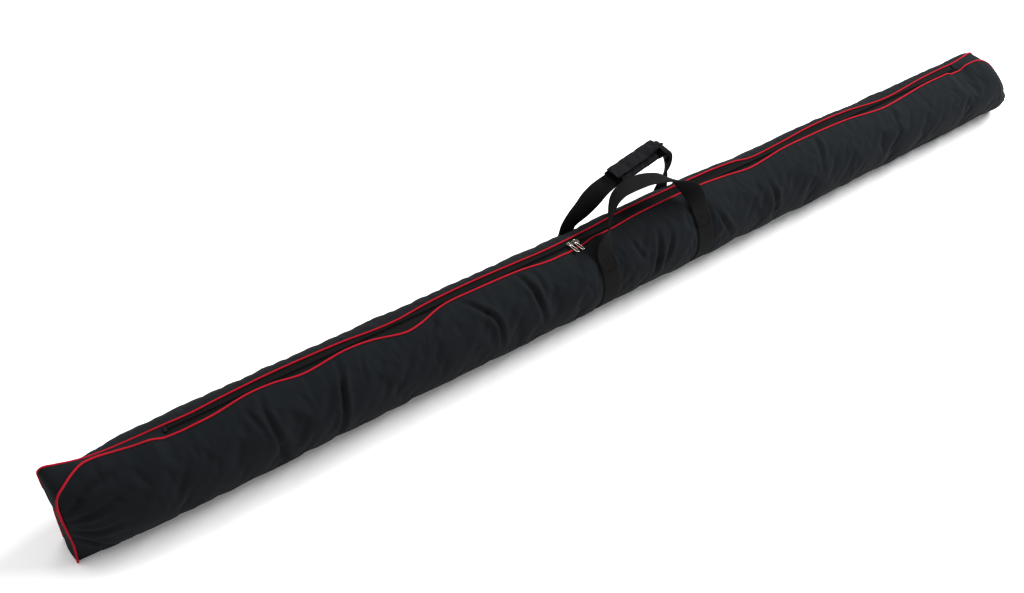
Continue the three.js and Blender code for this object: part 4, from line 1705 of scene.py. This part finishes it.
@dataclass
class Grip:
    """The padded wrap on the back loop, with its flap and patches."""

    loop: HandleLoop
    length: float = 88 * MM
    half_width: float = 16.5 * MM
    half_thickness: float = 5.0 * MM

    def __post_init__(self) -> None:
        """Finds the grip's own axes from the loop's top stretch."""
        start = self.loop.left.spots[-1]
        end = self.loop.right.spots[0]
        ends = [
            self.loop.foot + self.loop.up * rise * MM + np.array([x * MM, 0, 0])
            for x, rise, _ in (start, end)
        ]
        self.along = unit(ends[1] - ends[0])
        self.back = self.loop.normal
        self.up = np.cross(self.along, self.back)
        self.centre = (ends[0] + ends[1]) / 2

    def world(self, x: Array, y: Array, z: Array) -> Array:
        """Places points of the grip's own frame on the bag."""
        spots = [np.asarray(a)[..., None] * v for a, v in ((x, self.along), (y, self.back), (z, self.up))]
        return self.centre + spots[0] + spots[1] + spots[2]

    def build(self) -> None:
        """Makes the sleeve, its bound ends, the flap and the patches."""
        self._sleeve()
        for end in End:
            self._edge_band(end)
        self._flap()
        self._tail()
        for node in ("grip_hook_patch", "grip_loop_patch"):
            Finish.HOOKS.dress(frame["nodes"][node])

    def _section(self, x: Array, turn: Array, grow: float = 0.0) -> tuple[Array, Array]:
        """The sleeve's outline at places along it: a soft pillow section.

        Args:
            x: places along the sleeve.
            turn: angles round it, in radians.
            grow: how far outside the sleeve the outline is.

        Returns:
            The outline's distances back and heights, in the grip's own frame.
        """
        swell = 1 - 0.10 * np.abs(2 * x / self.length) ** 4
        crease = 1.0 * MM * wander(x + 0.02 * np.sin(2 * turn), 0.026, 1.0)
        crease = crease + 0.7 * MM * wander(x - 0.01 * np.cos(turn), 0.013, 3.0)
        power = 0.78
        y = np.sign(np.cos(turn)) * np.abs(np.cos(turn)) ** power * (self.half_width + grow)
        z = np.sign(np.sin(turn)) * np.abs(np.sin(turn)) ** power
        z = z * (self.half_thickness * swell * (1 + 0.12 * np.cos(turn) ** 2) + grow + crease)
        return np.broadcast_to(y, z.shape), z

    def _sleeve(self) -> None:
        """The padded sleeve itself."""
        x = np.linspace(-self.length / 2, self.length / 2, 60)[:, None]
        turn = (np.arange(56) * 2 * math.pi / 56)[None]
        y, z = self._section(x, turn)
        z = np.minimum(z, self.half_thickness * 0.98)
        rings = self.world(np.broadcast_to(x, y.shape), y, z)
        draft = Draft()
        draft.tube(rings)
        piece = place(draft.build("grip_sleeve"), Finish.GRIP, Body.BACK_HANDLE, "grip_wrap")

    def _edge_band(self, end: End) -> None:
        """The binding tape round one end of the sleeve.

        Args:
            end: the end of the sleeve that it binds.
        """
        start = end.value * (self.length / 2 - 9 * MM)
        stop = end.value * (self.length / 2 + 1.2 * MM)
        x = np.linspace(start, stop, 8)[:, None]
        turn = (np.arange(56) * 2 * math.pi / 56)[None]
        rings = []
        for inset in (0.9 * MM, -0.1 * MM):
            y, z = self._section(np.clip(x, -self.length / 2, self.length / 2), turn, inset)
            z = np.minimum(z, self.half_thickness + inset)
            rings.append(self.world(np.broadcast_to(x, y.shape), y, z))
        draft = Draft()
        outer = draft.grid(rings[0], closed=True)
        inner = draft.grid(rings[1], closed=True)
        columns = turn.shape[1]
        for row in (0, x.shape[0] - 1):
            for j in range(columns):
                k = (j + 1) % columns
                a, b = outer + row * columns, inner + row * columns
                draft.faces.append((a + j, a + k, b + k, b + j))
        name = f"grip_edge_{end.name.lower()}"
        place(draft.build(name), Finish.BINDING, Body.BACK_HANDLE)

    def _tail(self) -> None:
        """The loose end of narrow tape that hangs from the open end of the sleeve."""
        spots = ((40, -9, -3), (47, -11, -4), (52, -13, -9), (53.5, -14, -17), (50, -13, -23), (52, -12, -28))
        line = smooth_line([[v * MM for v in spot] for spot in spots], 1.2 * MM)
        line = self.world(line[:, 0], line[:, 1], line[:, 2])
        draft = Draft()
        draft.tube(sweep(line, strap_profile(6 * MM, 1.0 * MM, 5), self.back))
        place(draft.build("grip_tail"), Finish.BINDING, Body.BACK_HANDLE)

    def _flap(self) -> None:
        """The flap that closes over the sleeve, with one corner that stands off it."""
        low_z = 7.5 * MM
        x = np.linspace(-self.length / 2 + 3 * MM, self.length / 2 + 1 * MM, 46)
        y = np.linspace(-10.0 * MM, 16.6 * MM, 17)
        xx, yy = np.meshgrid(x, y, indexing="ij")
        near_end = smoothstep(0.0, 1.0, (xx / self.length * 2 - 0.35) * 1.2)
        lift = near_end * smoothstep(0.0, 1.0, (6 * MM - yy) / (17 * MM))
        zz = low_z + 7.5 * MM * lift - 2.6 * MM * smoothstep(9.5 * MM, 17 * MM, yy)
        rumple = wander(xx + 0.3 * yy, 0.031, 2.0) + 0.6 * wander(xx - 0.5 * yy, 0.017, 4.0)
        zz = zz + 1.5 * MM * (rumple * 0.5 + 0.6)
        xx = xx + 5 * MM * lift
        sheet = self.world(xx, yy, zz + 0.8 * MM)
        under = self.world(xx, yy, zz - 0.8 * MM)
        draft = Draft()
        draft.tube(np.concatenate([sheet, under[:, ::-1]], axis=1))
        piece = place(draft.build("grip_cover_flap"), Finish.GRIP, Body.FLAP, "grip_flap")


# ---------------------------------------------------------------- studio


@dataclass
class Studio:
    """Camera, floor and soft lights."""

    eye: tuple[float, float, float] = (-0.9924, -1.0032, 1.0945)
    pitch: float = 50.72
    heading: float = -36.60
    lens: float = 39.27

    def build(self) -> None:
        """Makes everything that isn't the bag."""
        self._camera()
        self._floor()
        self._lamp("key", (-0.5, 2.0, 4.2), (0.0, 0.0, 0.0), (4.0, 2.4), 90)
        self._lamp("sheen", (3.2, -0.8, 3.2), (0.45, 0.0, 0.1), (3.2, 0.5), 240)
        world = bpy.data.worlds.new("studio_air")
        bpy.context.scene.world = world
        world.use_nodes = True
        background = world.node_tree.nodes["Background"]
        background.inputs["Color"].default_value = (1.0, 1.0, 1.0, 1.0)
        background.inputs["Strength"].default_value = 0.44
        display = bpy.context.scene.view_settings
        display.view_transform = "Standard"
        display.gamma = 0.72

    def _camera(self) -> None:
        """The camera."""
        data = bpy.data.cameras.new("camera")
        data.lens = self.lens
        data.sensor_width = 36.0
        data.clip_start = 0.02
        camera = bpy.data.objects.new("camera", data)
        bpy.context.scene.collection.objects.link(camera)
        camera.location = self.eye
        camera.rotation_euler = (math.radians(self.pitch), 0.0, math.radians(self.heading))
        bpy.context.scene.camera = camera

    @staticmethod
    def _floor() -> None:
        """A wide pale floor."""
        half = 9.0
        draft = Draft()
        side = np.linspace(-half, half, 5)
        xx, yy = np.meshgrid(side, side, indexing="ij")
        draft.grid(np.stack([xx, yy, 0 * xx], axis=-1))
        floor = draft.build("ground", smooth=False)
        floor.data.materials.append(PaleGround().make())

    @staticmethod
    def _lamp(name: str, place_at: tuple, aim: tuple, size: tuple, power: float) -> None:
        """A soft rectangular lamp that faces a point.

        Args:
            name: the lamp's name.
            place_at: where it is.
            aim: the point that it faces.
            size: its width and height.
            power: its power in watts.
        """
        data = bpy.data.lights.new(name, "AREA")
        data.shape = "RECTANGLE"
        data.size, data.size_y = size
        data.energy = power
        lamp = bpy.data.objects.new(name, data)
        bpy.context.scene.collection.objects.link(lamp)
        lamp.location = place_at
        lamp.rotation_mode = "QUATERNION"
        direction = Vector(aim) - Vector(place_at)
        lamp.rotation_quaternion = direction.to_track_quat("-Z", "Y")


FRONT_LEGS = (
    LoopLeg(((-108, 0, 90), (-105.5, 8, 86), (-98.5, 19, 66), (-89.5, 33, 38), (-82, 51, 24), (-74, 64, 12),
             (-59, 75.5, -10), (-37, 80.5, -28))),
    LoopLeg(((-7, 80, -30), (24, 72, -24), (46, 61, -6), (62, 49, 20), (74, 35, 50), (81.5, 17, 76),
             (83, 0, 90))),
)
BACK_LEGS = (
    LoopLeg(((-108, 0, -90), (-106.5, 8, -88), (-97, 20, -78), (-81, 32, -60), (-66, 46, -34), (-50, 58, -10),
             (-33, 65.2, 0))),
    LoopLeg(((60, 92, 0), (69, 91, 0), (77, 80, 0), (81.5, 64, -10), (84, 45, -36), (84.5, 24, -68),
             (83, 0, -90))),
)


@dataclass
class InsideTrim:
    """Binding over the raw edges of the top seams, inside the bag."""

    def build(self) -> None:
        """Dresses the two bindings."""
        for side in Side:
            Finish.BINDING.dress(frame["nodes"][f"seam_binding_{side.name.lower()}"])


def seam_rows(panel: MainPanel) -> list[tuple[Array, Array]]:
    """Lines on the panel just below each piping, with the surface's normals.

    Args:
        panel: the panel, already built.

    Returns:
        For each seam, the line's points and the normals there.
    """
    skin = panel.surface
    normals = grid_normals(skin)
    rows = []
    for column in (1, skin.shape[1] - 2):
        keep = np.abs(skin[:, column, 0]) < 0.88
        rows.append((skin[keep, column] + normals[keep, column] * 0.15 * MM, normals[keep, column]))
    return rows


def main() -> None:
    """Builds the bag piece by piece, and then the studio round it."""
    logging.basicConfig(level=logging.INFO, format="%(message)s")
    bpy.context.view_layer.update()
    Studio().build()
    form = BagForm()
    panel = MainPanel(form)
    panel.build()
    for end in End:
        EndGusset(form, end).build()
    for side in Side:
        Piping(form, side).build()
    SeamStitches("seam_stitches").build(seam_rows(panel), Body.BAG)
    Zip(form).build()
    for name in ("left", "right"):
        Band(form, name).build()
    front = HandleLoop(
        Side.FRONT, 24.5, *FRONT_LEGS, FRONT_FOOT, Body.FRONT_HANDLE, "handle_loop_front", form
    )
    back = HandleLoop(
        Side.BACK, -7.5, *BACK_LEGS, BACK_FOOT, Body.BACK_HANDLE, "handle_loop_back", form
    )
    for loop, name in ((front, "front"), (back, "back")):
        loop.build()
        nodes = [f"stitched_box_{name}_{k}" for k in ("left", "right")]
        stitches = SeamStitches(f"foot_stitches_{name}", 2.6 * MM, 2.1 * MM, 0.3 * MM)
        stitches.build(loop.stitch_rows(), Body.BAG, *nodes)
    Grip(back).build()
    InsideTrim().build()


if __name__ == "__main__":
    main()
